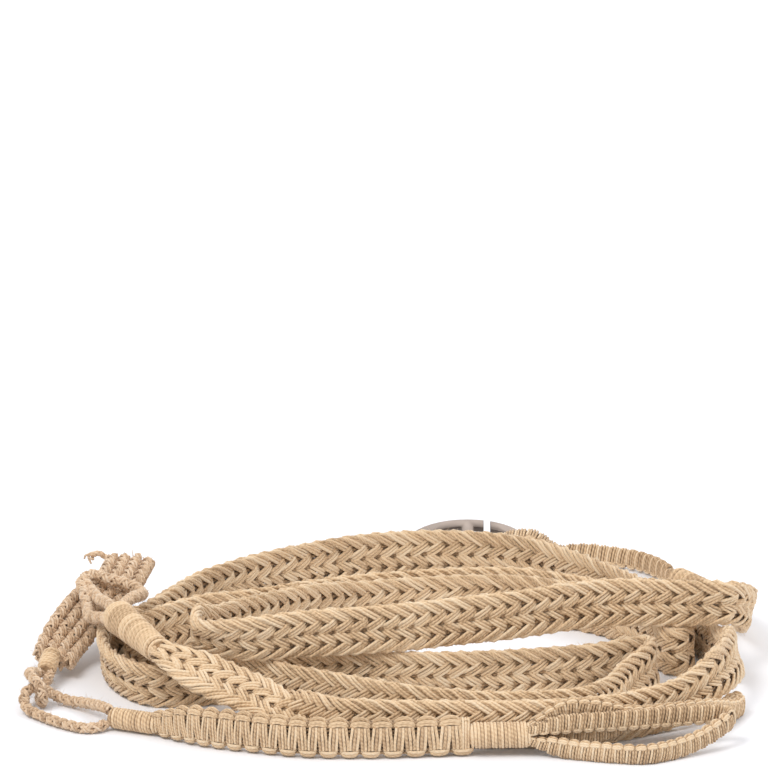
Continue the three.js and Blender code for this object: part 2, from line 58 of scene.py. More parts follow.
BAR_LEFT = (-0.46, 0.135, 0.02)
BAR_RIGHT = (0.155, 0.01, 0.15)
LOOPS_START = (0.28, 0.015, 0.15)
CORD_START = (-0.555, 0.18, 0.02)
BACK_NECK = (0.672, 0.93, 0.01)
STRIP_END = (0.577, 1.07, 0.01)
DIAGONAL_NECK = (-0.457, 0.26, 1.07)
DIAGONAL_TIP = (-0.545, 0.45, 1.13)
TAIL_FRONT = (-0.672, 0.492, 0.36)
TAIL_EYE = (-0.685, 0.435, 0.15)

# The flat braid by stretches: the lower edge's x, y and height, then how far the upper
# edge leans along x and y where it isn't upright. The last row lies inside the whipping.
BRAID = {
    "braid_right_riser": [
        (0.672, 0.93, -0.23), (0.692, 0.84, -0.038, 0.05, -0.05), (0.704, 0.735, 0.2, 0.15, -0.15),
        (0.705, 0.61, 0.7, 0.2, -0.3), (0.675, 0.532, 1.04, 0.1, -0.3),
    ],
    "braid_raised_front": [
        (0.62, 0.525, 1.02, 0, -0.15), (0.425, 0.52, 1), (0.225, 0.435, 1), (0.135, 0.405, 1),
        (0.025, 0.365, 1), (-0.175, 0.325, 1, 0, -0.08), (-0.275, 0.305, 1.01, 0, -0.25),
    ],
    "braid_left_turn": [
        (-0.34, 0.33, 1.03, 0, -0.48), (-0.383, 0.38, 1.03, 0, -0.62),
        (-0.382, 0.43, 1.02, 0, -0.5), (-0.35, 0.485, 0.66, 0, -0.25), (-0.295, 0.555, 0.5),
    ],
    "braid_inner_back": [
        (-0.165, 0.72, 0.25), (-0.035, 0.825, 0), (0.135, 0.86, 0), (0.265, 0.86, 0),
        (0.425, 0.775, 0), (0.485, 0.69, 0),
    ],
    "braid_inner_turn": [
        (0.53, 0.6, 0), (0.545, 0.54, 0), (0.573, 0.515, 0), (0.598, 0.545, 0), (0.585, 0.62, 0),
        (0.53, 0.725, 0),
    ],
    "braid_second_back": [
        (0.425, 0.83, 0), (0.265, 0.91, 0), (0.135, 0.91, 0), (-0.035, 0.875, 0),
        (-0.165, 0.825, 0), (-0.295, 0.765, 0), (-0.375, 0.735, 0),
    ],
    "braid_hidden_turn": [
        (-0.475, 0.645, 0), (-0.52, 0.56, 0), (-0.5, 0.475, 0), (-0.425, 0.415, 0),
        (-0.3, 0.385, 0),
    ],
    "braid_fourth_front": [
        (-0.175, 0.375, 0), (0.125, 0.365, 0), (0.345, 0.4, 0), (0.425, 0.425, 0),
    ],
    "braid_tight_turn": [
        (0.49, 0.465, 0), (0.52, 0.47, 0), (0.53, 0.42, 0.015, -0.2, 0),
        (0.51, 0.325, 0.035, -0.5, 0.1), (0.472, 0.21, 0.035, -0.5, 0.2),
        (0.4, 0.14, 0.01, -0.1, 0.1),
    ],
    "braid_left_front": [
        (0.3, 0.12, 0), (0.2, 0.115, 0), (0, 0.175, 0), (-0.15, 0.26, 0), (-0.305, 0.34, 0),
        (-0.375, 0.325, 0.01, 0, -0.15), (-0.475, 0.322, 0.02, -0.05, -0.3),
    ],
    "braid_outer_left_turn": [
        (-0.543, 0.42, 0.02, -0.15, -0.25), (-0.563, 0.53, 0.01, -0.12, 0),
        (-0.553, 0.6, 0.005, -0.05, 0), (-0.495, 0.67, 0), (-0.44, 0.775, 0),
    ],
    "braid_outer_back": [
        (-0.375, 0.89, 0), (-0.24, 1.02, 0), (-0.035, 1.135, 0), (0.135, 1.155, 0),
        (0.285, 1.105, 0), (0.385, 1.005, 0), (0.52, 0.825, 0),
    ],
    "braid_outer_right_turn": [
        (0.575, 0.735, 0), (0.62, 0.64, 0), (0.65, 0.55, 0), (0.68, 0.49, 0.04),
        (0.694, 0.43, 0.35, -0.2, 0), (0.699, 0.36, 0.46, -0.35, 0),
        (0.668, 0.2625, 0.48, -0.25, -0.1), (0.59, 0.1875, 0.1, -0.1, 0), (0.52, 0.146, 0),
    ],
    "braid_front_run": [
        (0.47, 0.112, 0), (0.4, 0.08, 0), (0.3, 0.0625, 0), (0.15, 0.0575, 0), (0, 0.06, 0),
        (-0.09, 0.07, 0),
    ],
    "braid_diagonal": [
        (-0.175, 0.075, 0.1, 0.3, 0.3), (-0.256, 0.0775, 0.42, 0.62, 0.65),
        (-0.296, 0.1175, 0.55, 0.62, 0.65), (-0.356, 0.1575, 0.69, 0.62, 0.65),
        (-0.416, 0.1925, 0.87, 0.62, 0.65), (-0.484, 0.2275, 1.1, 0.62, 0.65),
        (-0.4985, 0.25, 1.13, 0.62, 0.65),
    ],
}

# Rows below hold x, y and the underside's height, then the lean where there is one.
BAR_ROUTE = [
    (-0.46, 0.135, 0), (-0.375, 0.07, 0), (-0.275, 0.03, 0), (-0.175, 0, 0), (-0.05, -0.008, 0),
    (0.155, 0.01, 0),
]
OUTER_LOOP_ROUTE = [
    (0.28, 0.004, 0.32), (0.34, 0.017, 0.4), (0.405, 0.027, 0.42), (0.48, 0.0415, 0.42),
    (0.5525, 0.064, 0.41), (0.625, 0.08, 0.4), (0.66, 0.0865, 0.38), (0.673, 0.0715, 0.36),
    (0.656, 0.0475, 0.28), (0.618, 0.0225, 0.11), (0.565, -0.0125, 0.005), (0.505, -0.045, 0),
    (0.43, -0.035, 0), (0.36, -0.015, 0), (0.3, 0.003, 0.06), (0.28, 0.004, 0.105),
]
INNER_LOOP_ROUTE = [
    (0.28, 0.026, 0.32), (0.315, 0.037, 0.5), (0.35, 0.045, 0.64), (0.385, 0.0485, 0.65),
    (0.425, 0.053, 0.58), (0.48, 0.0635, 0.44), (0.55, 0.087, 0.42), (0.625, 0.13, 0.36),
    (0.656, 0.175, 0.21), (0.682, 0.225, 0.04), (0.696, 0.265, 0), (0.688, 0.29, 0),
    (0.674, 0.27, 0), (0.66, 0.222, 0.01), (0.637, 0.1875, 0.08), (0.62, 0.155, 0.23),
    (0.55, 0.111, 0.33), (0.48, 0.085, 0.27), (0.405, 0.053, 0.11), (0.34, 0.0375, 0.1),
    (0.28, 0.026, 0.105),
]
STRIP_ROUTE = [
    (0.577, 1.07, 0.05), (0.552, 1.13, 0.02), (0.505, 1.19, 0.02), (0.43, 1.23, 0.005, 0, 0.1),
    (0.38, 1.24, 0.005, 0, 0.6), (0.34, 1.247, 0.07, 0, 0.94), (0.295, 1.25, 0.375, 0, 0.94),
    (0.258, 1.25, 0.397, 0, 0.94), (0.218, 1.25, 0.2, 0, 0.94), (0.246, 1.25, 0.004, 0, 0.94),
    (0.275, 1.25, 0.003, 0, 0.94), (0.292, 1.25, 0.003, 0, 0.94),
]
CORD_LOOP_ROUTE = [
    (-0.5525, 0.1865, 0.24), (-0.573, 0.225, 0.2), (-0.59, 0.258, 0.13), (-0.61, 0.288, 0.07),
    (-0.637, 0.315, 0.02), (-0.665, 0.333, 0.07), (-0.695, 0.335, 0.22), (-0.717, 0.315, 0.25),
    (-0.726, 0.287, 0.13), (-0.718, 0.262, 0.02), (-0.7, 0.237, 0), (-0.67, 0.2, 0),
    (-0.64, 0.171, 0), (-0.605, 0.148, 0), (-0.58, 0.15, 0.01), (-0.56, 0.17, 0.03),
]
SMALL_LOOP_ROUTE = [
    (-0.697, 0.433, 0.2), (-0.712, 0.39, 0.36), (-0.715, 0.345, 0.47), (-0.706, 0.31, 0.48),
    (-0.693, 0.29, 0.38), (-0.688, 0.288, 0.18), (-0.69, 0.305, 0.02), (-0.695, 0.34, 0),
    (-0.69, 0.39, 0.04), (-0.675, 0.433, 0.2),
]
COLLAR_ROUTE = [
    (-0.534, 0.457, 1.49), (-0.515, 0.52, 1.46), (-0.498, 0.6, 1.27), (-0.497, 0.655, 1.15),
    (-0.518, 0.673, 1.24), (-0.561, 0.685, 1.33), (-0.592, 0.69, 1.4), (-0.61, 0.678, 1.37),
    (-0.616, 0.654, 1.28), (-0.609, 0.63, 1.19), (-0.602, 0.604, 1.02), (-0.6, 0.565, 0.96),
    (-0.588, 0.52, 1.06), (-0.57, 0.482, 1.17), (-0.556, 0.448, 1.24),
]
# The strap's centre line, then its direction from the left edge to the right one.
STRAP_ROUTE = [
    (-0.67, 0.508, 0.34, 0.81, -0.57, -0.07), (-0.657, 0.56, 0.47, 0.81, -0.52, -0.25),
    (-0.629, 0.6075, 0.74, 0.8, -0.3, -0.52), (-0.592, 0.668, 1.02, 0.88, -0.3, -0.36),
    (-0.5425, 0.74, 1.23, 0.85, -0.49, -0.175), (-0.531, 0.8, 1.25, 0.95, -0.25, -0.08),
    (-0.52, 0.868, 1.235, 0.98, -0.18, -0.05),
]
STUB_ROUTE = [
    (-0.573, 0.874, 1.27), (-0.585, 0.868, 1.35), (-0.597, 0.858, 1.34), (-0.606, 0.85, 1.27),
]

FINE_STEPS = 24  # curve samples between two rows
SEED = 7  # start of every random choice


def spline(rows, times):
    """A centripetal Catmull-Rom curve through the rows, at times counted in rows."""
    ends = np.vstack([2 * rows[0] - rows[1], rows, 2 * rows[-1] - rows[-2]])
    first = np.minimum(times.astype(int), len(rows) - 2)
    share = (times - first)[:, None]
    a, b, c, d = (ends[first + k] for k in range(4))
    before, middle, after = (
        np.sum((q - p) ** 2, axis=1)[:, None] ** 0.25 for p, q in ((a, b), (b, c), (c, d))
    )
    middle = np.where(middle < 1e-4, 1.0, middle)
    before = np.where(before < 1e-4, middle, before)
    after = np.where(after < 1e-4, middle, after)
    leave = ((b - a) / before - (c - a) / (before + middle) + (c - b) / middle) * middle
    arrive = ((c - b) / middle - (d - b) / (middle + after) + (d - c) / after) * middle
    cubic = 2 * b - 2 * c + leave + arrive
    square = 3 * c - 3 * b - 2 * leave - arrive
    return b + leave * share + square * share ** 2 + cubic * share ** 3


def unit(vectors):
    """The same vectors, one metre long."""
    return vectors / np.maximum(np.linalg.norm(vectors, axis=-1, keepdims=True), 1e-9)


def place(row, lift=0.0):
    """A route row's place in the frame."""
    share = np.array(row[:3]) * (COIL_LENGTH, COIL_DEPTH, LEVEL)
    return share + ORIGIN + np.array((0, 0, lift))


def follow(rows, spacing, lift=0.0):
    """Evenly spaced points on the curve through the rows, their leans, and how far along
    each row lies. A point's height and lean stay between those of the rows beside it."""
    marks = np.array([place(row, lift) for row in rows]) * 1000
    leans = np.array([tuple(row[3:]) + (0,) * (6 - len(row)) for row in rows], dtype=float)
    times = np.linspace(0, len(rows) - 1, (len(rows) - 1) * FINE_STEPS + 1)
    first = np.minimum(times.astype(int), len(rows) - 2)
    points = spline(marks, times)
    points[:, 2] = np.clip(
        points[:, 2],
        np.minimum(marks[first, 2], marks[first + 1, 2]),
        np.maximum(marks[first, 2], marks[first + 1, 2]),
    )
    lean = spline(leans, times)
    lean[:, :2] = np.clip(
        lean[:, :2],
        np.minimum(leans[first, :2], leans[first + 1, :2]),
        np.maximum(leans[first, :2], leans[first + 1, :2]),
    )
    points /= 1000
    reach = travelled(points)
    even = np.linspace(0, reach[-1], max(2, round(reach[-1] / spacing)) + 1)
    return resample(points, reach, even), resample(lean, reach, even), even, reach[::FINE_STEPS]


def resample(values, reach, even):
    return np.stack([np.interp(even, reach, values[:, k]) for k in range(values.shape[1])], axis=1)


def upright(lean):
    """The direction across a band that leans by these shares of its width."""
    flat = np.minimum(1, np.hypot(lean[:, 0], lean[:, 1]))
    return unit(np.column_stack([lean[:, 0], lean[:, 1], np.sqrt(1 - flat ** 2)]))


def heading(points):
    return unit(np.gradient(points, axis=0))


def travelled(points):
    """How far along its line each point lies."""
    return np.concatenate([[0], np.cumsum(np.linalg.norm(np.diff(points, axis=0), axis=1))])


def smooth(share):
    share = np.clip(share, 0, 1)
    return share ** 2 * (3 - 2 * share)


def carried(points):
    """Two directions square to a cord that turn with it as little as possible."""
    along = heading(points)
    side = np.cross((0, 0, 1.0), along[0])
    if np.linalg.norm(side) < 0.1:
        side = np.array((1.0, 0, 0))
    sides = []
    for direction in along:
        side = unit(side - direction * np.dot(side, direction))
        sides.append(side)
    sides = np.array(sides)
    return sides, np.cross(along, sides)


def wander(count, reach, size, rng):
    """A slow random drift, for yarns that don't lie quite evenly."""
    knots = rng.normal(0, size, max(4, int(count / reach) + 2))
    return np.interp(np.linspace(0, len(knots) - 1, count), np.arange(len(knots)), knots)


FIBRE = 0.00007  # radius of a loose fibre
LENGTH_SHIFT = 0.37  # from yarn to yarn, so that no two have the same streaks


class Yarns:
    """A bundle of yarn centre lines, which becomes one mesh of tubes."""

    def __init__(self, seed=SEED):
        self.lines = []
        self.fibres = []
        self.rng = np.random.default_rng(seed)

    def add(self, points, radius, tone=None):
        tone = self.rng.uniform(0, 1) if tone is None else tone
        radius = np.broadcast_to(radius, (len(points),)).astype(float)
        self.lines.append((np.asarray(points, dtype=float), radius, tone))

    def fuzz(self, points, radius, count, length=0.0022, depth=0.75):
        """Fine loose fibres that stand off a cord or off the edge of a band."""
        along = heading(points)
        for k in self.rng.integers(0, len(points), count):
            way = unit(np.cross(along[k], self.rng.normal(0, 1, 3)))
            foot = points[k] + way * radius * depth
            out = unit(way + along[k] * self.rng.normal(0, 1.1) + self.rng.normal(0, 0.3, 3))
            reach = self.rng.uniform(0.35, 1) * length
            curl = self.rng.normal(0, 0.35, 3) * reach
            share = np.array([0, 0.5, 1])[:, None]
            line = foot + out * share * reach + curl * share ** 2
            line[:, 2] = np.maximum(line[:, 2], FIBRE)
            self.fibres.append((line, FIBRE * (1.1 - 0.7 * share[:, 0]), 1.0))

    def lines_mesh(self, name, lines=None):
        """Edges along every yarn, with its radius, tone and length at each point."""
        mesh = bpy.data.meshes.new(name)
        lines = self.lines if lines is None else lines
        counts = [len(line[0]) for line in lines]
        starts = np.concatenate([[0], np.cumsum(counts)])
        heads = np.concatenate([np.arange(a, b - 1) for a, b in zip(starts, starts[1:])])
        edges = np.column_stack([heads, heads + 1])
        mesh.vertices.add(starts[-1])
        mesh.vertices.foreach_set("co", np.concatenate([line[0] for line in lines]).ravel())
        mesh.edges.add(len(edges))
        mesh.edges.foreach_set("vertices", edges.ravel().astype(np.int32))
        lengths = [travelled(line[0]) + LENGTH_SHIFT * k for k, line in enumerate(lines)]
        columns = {
            "yarn_radius": np.concatenate([line[1] for line in lines]),
            "yarn_tone": np.repeat([line[2] for line in lines], counts),
            "yarn_length": np.concatenate(lengths),
        }
        for key, values in columns.items():
            mesh.attributes.new(key, "FLOAT", "POINT").data.foreach_set("value", values)
        return mesh


def feed(tree, node, values):
    """Links every socket among the values to the input of that name and sets the others."""
    for key, value in values.items():
        if isinstance(value, bpy.types.NodeSocket):
            tree.links.new(value, node.inputs[key])
        else:
            node.inputs[key].default_value = value
    return node


def add_node(tree, kind, values=(), **settings):
    """A new node with these settings and inputs."""
    node = tree.nodes.new(kind)
    for key, value in settings.items():
        setattr(node, key, value)
    return feed(tree, node, dict(values))


def reckon(tree, operation, *values):
    """What a math node makes of these numbers or sockets."""
    return add_node(tree, "ShaderNodeMath", enumerate(values), operation=operation).outputs[0]


def new_tree(name, sockets):
    """A geometry node tree with these inputs and one geometry output."""
    tree = bpy.data.node_groups.new(name, "GeometryNodeTree")
    tree.is_modifier = True
    tree.interface.new_socket("Geometry", in_out="INPUT", socket_type="NodeSocketGeometry")
    for label, kind, default in sockets:
        socket = tree.interface.new_socket(label, in_out="INPUT", socket_type=kind)
        if default is not None:
            socket.default_value = default
    tree.interface.new_socket("Geometry", in_out="OUTPUT", socket_type="NodeSocketGeometry")
    return tree, tree.nodes.new("NodeGroupInput").outputs


def end_tree(tree, geometry, material):
    """Makes the result real, paints it and hands it out."""
    real = add_node(tree, "GeometryNodeRealizeInstances", {"Geometry": geometry})
    paint = add_node(
        tree, "GeometryNodeSetMaterial", {"Geometry": real.outputs["Geometry"], "Material": material}
    )
    add_node(tree, "NodeGroupOutput", {"Geometry": paint.outputs["Geometry"]})
    return tree


def named(tree, label, kind="FLOAT"):
    """A node that reads the points' own attribute of that name."""
    node = add_node(tree, "GeometryNodeInputNamedAttribute", {"Name": label}, data_type=kind)
    return node.outputs["Attribute"]


def yarn_tree():
    """Sweeps a round section along every line, as thick as its points say."""
    tree, given = new_tree(
        "yarn tubes", [("Sides", "NodeSocketInt", 6), ("Material", "NodeSocketMaterial", None)]
    )
    curve = add_node(tree, "GeometryNodeMeshToCurve", {"Mesh": given["Geometry"]})
    section = add_node(
        tree, "GeometryNodeCurvePrimitiveCircle", {"Resolution": given["Sides"], "Radius": 1.0}
    )
    index = add_node(tree, "GeometryNodeInputIndex")
    around = add_node(tree, "GeometryNodeStoreNamedAttribute", {
        "Geometry": section.outputs["Curve"],
        "Name": "yarn_around",
        "Value": reckon(tree, "DIVIDE", index.outputs[0], given["Sides"]),
    })
    sweep = add_node(tree, "GeometryNodeCurveToMesh", {
        "Curve": curve.outputs["Curve"],
        "Profile Curve": around.outputs["Geometry"],
        "Scale": named(tree, "yarn_radius"),
        "Fill Caps": True,
    })
    shade = add_node(tree, "GeometryNodeSetShadeSmooth", {0: sweep.outputs["Mesh"]})
    return end_tree(tree, shade.outputs[0], given["Material"])


def knot_tree():
    """Sets one knot on every seat, turned with the path and a little unevenly."""
    tree, given = new_tree("knots on a path", [
        ("Knot", "NodeSocketObject", None),
        ("Looseness", "NodeSocketFloat", 0.05),
        ("Seed", "NodeSocketInt", SEED),
        ("Material", "NodeSocketMaterial", None),
    ])
    knot = add_node(tree, "GeometryNodeObjectInfo", {"Object": given["Knot"]})
    axes = add_node(tree, "FunctionNodeAxesToRotation", {
        "Primary Axis": named(tree, "seat_along", "FLOAT_VECTOR"),
        "Secondary Axis": named(tree, "seat_up", "FLOAT_VECTOR"),
    }, primary_axis="X", secondary_axis="Z")
    swing = add_node(tree, "FunctionNodeRandomValue", {
        "Min": reckon(tree, "MULTIPLY", given["Looseness"], -1.0),
        "Max": given["Looseness"],
        "Seed": given["Seed"],
    }, data_type="FLOAT_VECTOR")
    turn = add_node(tree, "FunctionNodeRotateRotation", {
        "Rotation": axes.outputs[0],
        "Rotate By": swing.outputs["Value"],
    }, rotation_space="LOCAL")
    seat = add_node(tree, "GeometryNodeInstanceOnPoints", {
        "Points": given["Geometry"],
        "Instance": knot.outputs["Geometry"],
        "Rotation": turn.outputs[0],
        "Scale": named(tree, "seat_size", "FLOAT_VECTOR"),
    })
    return end_tree(tree, seat.outputs["Instances"], given["Material"])


def show(name, data):
    """A new object at the origin of the scene."""
    piece = bpy.data.objects.new(name, data)
    bpy.context.scene.collection.objects.link(piece)
    return piece


def grow(name, base, tree, values):
    """Runs a node tree on a mesh and returns the result as a plain object."""
    source = show(name + "_source", base)
    modifier = source.modifiers.new("growth", "NODES")
    modifier.node_group = tree
    for item in tree.interface.items_tree:
        if item.item_type == "SOCKET" and item.in_out == "INPUT" and item.name in values:
            modifier[item.identifier] = values[item.name]
    depsgraph = bpy.context.evaluated_depsgraph_get()
    mesh = bpy.data.meshes.new_from_object(
        source.evaluated_get(depsgraph), preserve_all_data_layers=True, depsgraph=depsgraph
    )
    mesh.name = name
    bpy.data.objects.remove(source)
    bpy.data.meshes.remove(base)
    return show(name, mesh)


def joined(name, parts):
    """One object from several meshes that share a material."""
    joint = bmesh.new()
    for part in parts:
        joint.from_mesh(part.data)
    mesh = parts[0].data
    joint.to_mesh(mesh)
    joint.free()
    for part in parts[1:]:
        bpy.data.objects.remove(part)
    parts[0].name = name
    mesh.name = name
    return parts[0]


def dress(piece, node):
    """Hands a finished piece to the frame in place of its plain solid."""
    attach(piece, "root")
    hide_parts(node)


def tubes(name, yarns, material, sides=6):
    """Turns a bundle of yarn lines into one piece, its loose fibres with fewer sides."""
    base = yarns.lines_mesh(name + "_lines")
    piece = grow(name, base, TREES["yarn"], {"Sides": sides, "Material": material})
    if yarns.fibres:
        base = yarns.lines_mesh(name + "_fibre_lines", yarns.fibres)
        fuzz = grow(name + "_fibres", base, TREES["yarn"], {"Sides": 3, "Material": material})
        joined(name, [piece, fuzz])
    return piece


TREES = {}
MATERIALS = {}
PATCHES = 45  # size of the yarn's clouded patches, as a noise scale
STREAKS_ALONG = 500  # fibre streaks for each metre of yarn
STREAKS_AROUND = 9  # fibre streaks once round a yarn
YARN_TWIST = 0.0017  # length of one turn of a yarn's twist
BRUSH_STROKES = (60, 1400, 1400)  # long along x, as noise scales
CLOUDS = 90  # size of the metal's faint clouds, as a noise scale
PEWTER_ROUGHNESS = 0.32


def shader(name):
    material = bpy.data.materials.new(name)
    material.use_nodes = True
    return material, material.node_tree, material.node_tree.nodes["Principled BSDF"]


def ramp(tree, share, stops):
    """A colour ramp through pairs of place and colour."""
    node = add_node(tree, "ShaderNodeValToRGB", {"Fac": share})
    elements = node.color_ramp.elements
    while len(elements) < len(stops):
        elements.new(0.5)
    for element, (position, colour) in zip(elements, stops):
        element.position = position
        element.color = (*colour, 1)
    return node.outputs["Color"]


def noise(tree, where, scale, detail):
    values = {"Vector": where, "Scale": scale, "Detail": detail}
    return add_node(tree, "ShaderNodeTexNoise", values).outputs["Fac"]


def relief(tree, height, strength, distance):
    values = {"Height": height, "Strength": strength, "Distance": distance}
    return add_node(tree, "ShaderNodeBump", values).outputs["Normal"]


def yarn_material(name, dark, middle, light):
    """Spun jute-like yarn: a tone for each yarn, fibre streaks, and the ridges of its twist, with painted
    shade in the twist's grooves.
    """
    material, tree, surface = shader(name)
    tone, length, around = (
        add_node(tree, "ShaderNodeAttribute", attribute_name=label).outputs["Fac"]
        for label in ("yarn_tone", "yarn_length", "yarn_around")
    )
    spot = add_node(tree, "ShaderNodeTexCoord").outputs["Object"]
    patches = noise(tree, spot, PATCHES, 3)
    along = add_node(tree, "ShaderNodeCombineXYZ", {
        "X": reckon(tree, "MULTIPLY", length, STREAKS_ALONG),
        "Y": reckon(tree, "MULTIPLY", around, STREAKS_AROUND),
        "Z": tone,
    })
    fibres = noise(tree, along.outputs[0], 1, 4)
    streaks = reckon(tree, "MULTIPLY_ADD", fibres, 0.6, -0.28)
    uneven = reckon(tree, "MULTIPLY_ADD", patches, 0.5, streaks)
    mixed = reckon(tree, "MULTIPLY_ADD", tone, 0.45, uneven)
    turns = reckon(tree, "MULTIPLY_ADD", length, 1 / YARN_TWIST, around)
    wave = reckon(tree, "SINE", reckon(tree, "MULTIPLY", turns, 2 * math.pi))
    # painted shade: the twist's wave also darkens the colour a little in its grooves
    tone_with_groove_shade = reckon(tree, "MULTIPLY_ADD", wave, 0.07, mixed)
    # painted shade: the ramp's lowest stop, 0.4 of the darkest yarn, is there mainly for the shaded core
    # yarns in the gaps
    deep = tuple(0.4 * c for c in dark)
    ridges = reckon(tree, "MULTIPLY_ADD", wave, 0.35, fibres)
    feed(tree, surface, {
        "Base Color": ramp(tree, tone_with_groove_shade, [(0.0, deep), (0.2, dark), (0.5, middle), (0.9, light)]),
        "Roughness": 0.92,
        "Sheen Weight": 0.25,
        "Sheen Roughness": 0.5,
        "Specular IOR Level": 0.15,
        "Normal": relief(tree, ridges, 0.65, 0.00025),
    })
    return material


def metal_material(name, colour):
    """Brushed pewter with faint clouding and fine scratches."""
    material, tree, surface = shader(name)
    spot = add_node(tree, "ShaderNodeTexCoord").outputs["Object"]
    turned = add_node(tree, "ShaderNodeMapping", {"Vector": spot, "Scale": BRUSH_STROKES})
    brushed = noise(tree, turned.outputs[0], 1, 3)
    clouds = noise(tree, spot, CLOUDS, 2)
    dark = tuple(0.72 * c for c in colour)
    light = tuple(min(1, 1.15 * c) for c in colour)
    gloss = add_node(tree, "ShaderNodeMapRange", {
        "Value": brushed, "To Min": PEWTER_ROUGHNESS - 0.06, "To Max": PEWTER_ROUGHNESS + 0.1,
    })
    feed(tree, surface, {
        "Base Color": ramp(tree, clouds, [(0.3, dark), (0.7, light)]),
        "Metallic": 1.0,
        "Roughness": gloss.outputs[0],
        "Normal": relief(tree, brushed, 0.12, 0.0001),
    })
    return material


class FinishColours(bpy.types.PropertyGroup):
    shadow: bpy.props.FloatVectorProperty(
        name="Shadow", description="Darkest yarn", subtype="COLOR", size=3, default=(0.43, 0.28, 0.16)
    )
    yarn: bpy.props.FloatVectorProperty(
        name="Yarn", description="Middle tone of the yarn", subtype="COLOR", size=3,
        default=(0.755, 0.55, 0.345),
    )
    bright: bpy.props.FloatVectorProperty(
        name="Bright", description="Palest yarn", subtype="COLOR", size=3, default=(0.83, 0.68, 0.495)
    )
    metal: bpy.props.FloatVectorProperty(
        name="Metal", description="Pewter of the ring", subtype="COLOR", size=3,
        default=(0.215, 0.175, 0.15),
    )


class BraidSizes(bpy.types.PropertyGroup):
    width: bpy.props.FloatProperty(name="Width", description="Braid width", default=0.02, unit="LENGTH")
    thickness: bpy.props.FloatProperty(
        name="Thickness", description="Braid thickness", default=0.0045, unit="LENGTH"
    )
    strands: bpy.props.IntProperty(name="Strands", description="Strands in the braid", default=10)
    repeat: bpy.props.FloatProperty(
        name="Repeat", description="Length in which a strand comes back to its edge",
        default=0.064, unit="LENGTH",
    )
    yarn: bpy.props.FloatProperty(name="Yarn", description="Yarn diameter", default=0.00132, unit="LENGTH")
    neck: bpy.props.FloatProperty(
        name="Neck", description="Length over which an end is drawn together", default=0.026, unit="LENGTH"
    )
    neck_width: bpy.props.FloatProperty(
        name="Neck width", description="Width of a drawn end", default=0.0094, unit="LENGTH"
    )


class KnotSizes(bpy.types.PropertyGroup):
    bar_height: bpy.props.FloatProperty(
        name="Bar height", description="Height of the bar", default=0.017, unit="LENGTH"
    )
    bar_thickness: bpy.props.FloatProperty(
        name="Bar thickness", description="Thickness of the bar", default=0.006, unit="LENGTH"
    )
    bar_knots: bpy.props.IntProperty(name="Bar knots", description="Square knots in the bar", default=17)
    strip_width: bpy.props.FloatProperty(
        name="Strip width", description="Width of the narrow loops", default=0.0085, unit="LENGTH"
    )
    strip_thickness: bpy.props.FloatProperty(
        name="Strip thickness", description="Thickness of the narrow loops", default=0.0036, unit="LENGTH"
    )
    strip_pitch: bpy.props.FloatProperty(
        name="Strip pitch", description="Length of one knot in the narrow loops",
        default=0.0046, unit="LENGTH",
    )


class CordSizes(bpy.types.PropertyGroup):
    cord: bpy.props.FloatProperty(name="Cord", description="Cord diameter", default=0.0046, unit="LENGTH")
    collar: bpy.props.FloatProperty(
        name="Collar", description="Collar cord diameter", default=0.0052, unit="LENGTH"
    )
    plait: bpy.props.FloatProperty(
        name="Plait", description="Length of one plait repeat", default=0.0088, unit="LENGTH"
    )
    strap_width: bpy.props.FloatProperty(
        name="Strap width", description="Width of the strap", default=0.02, unit="LENGTH"
    )
    strap_thickness: bpy.props.FloatProperty(
        name="Strap thickness", description="Thickness of the strap", default=0.0075, unit="LENGTH"
    )
    strap_columns: bpy.props.IntProperty(name="Strap columns", description="Chains in the strap", default=4)
    thread: bpy.props.FloatProperty(
        name="Thread", description="Whipping thread diameter", default=0.0013, unit="LENGTH"
    )


class StageSizes(bpy.types.PropertyGroup):
    elevation: bpy.props.FloatProperty(
        name="Elevation", description="Camera's height angle", default=math.radians(18), subtype="ANGLE"
    )
    view_width: bpy.props.FloatProperty(
        name="View width", description="Width of the view at the belt", default=0.3072, unit="LENGTH"
    )
    low: bpy.props.FloatProperty(
        name="Low in view", default=0.3086,
        description="How far below the middle the belt lies, as a share of the width",
    )
    focal: bpy.props.FloatProperty(name="Focal length", description="Lens in millimetres", default=1100)
    floor: bpy.props.FloatVectorProperty(
        name="Floor", description="Floor colour", subtype="COLOR", size=3, default=(0.905, 0.92, 0.965)
    )


class BeltSettings(bpy.types.PropertyGroup):
    finish: bpy.props.PointerProperty(type=FinishColours)
    braid: bpy.props.PointerProperty(type=BraidSizes)
    knots: bpy.props.PointerProperty(type=KnotSizes)
    cords: bpy.props.PointerProperty(type=CordSizes)
    stage: bpy.props.PointerProperty(type=StageSizes)


# painted shade: the braided cords and the strap get a cooler, slightly darker copy of the yarn colours
SHADE_TINTED_SLOTS = ("braided_cord", "chain_knots")
PAINTED_SHADE_TINT = (0.93, 0.92, 0.97)
PAINTED_GAP_SHADE_TONE = -0.35  # painted shade: yarns inside a braid or knot get this darker tone, so that the gaps between strands look shaded and deep


def yarn_slot(slot):
    """The material of a yarn slot, made once from the chosen colours."""
    if slot not in MATERIALS:
        finish = bpy.context.scene.rope_belt.finish
        # painted shade: a cooler, darker tint for the cord and strap slots
        tint = PAINTED_SHADE_TINT if slot in SHADE_TINTED_SLOTS else (1, 1, 1)
        tones = (finish.shadow, finish.yarn, finish.bright)
        shades = [tuple(c * t for c, t in zip(tone, tint)) for tone in tones]
        MATERIALS[slot] = yarn_material(slot + "_yarn", *shades)
    return MATERIALS[slot]


EDGE_SHARPNESS = 0.97  # nearer 1 turns a strand more sharply at the braid's edge
STRAND_FLATNESS = 2.2  # higher lets a strand lie flat for longer on each face
YARNS_PER_STRAND = 3
EDGE_YARN_DROP = 0.00008  # a strand's outer yarns lie this much lower than its middle one
CORE_YARNS = 9  # straight yarns inside the braid, seen only through its pinholes
BRAID_STEP = 0.0018  # between two points of a yarn
EDGE_FUZZ = 0.0016  # longest fibre that stands off an edge


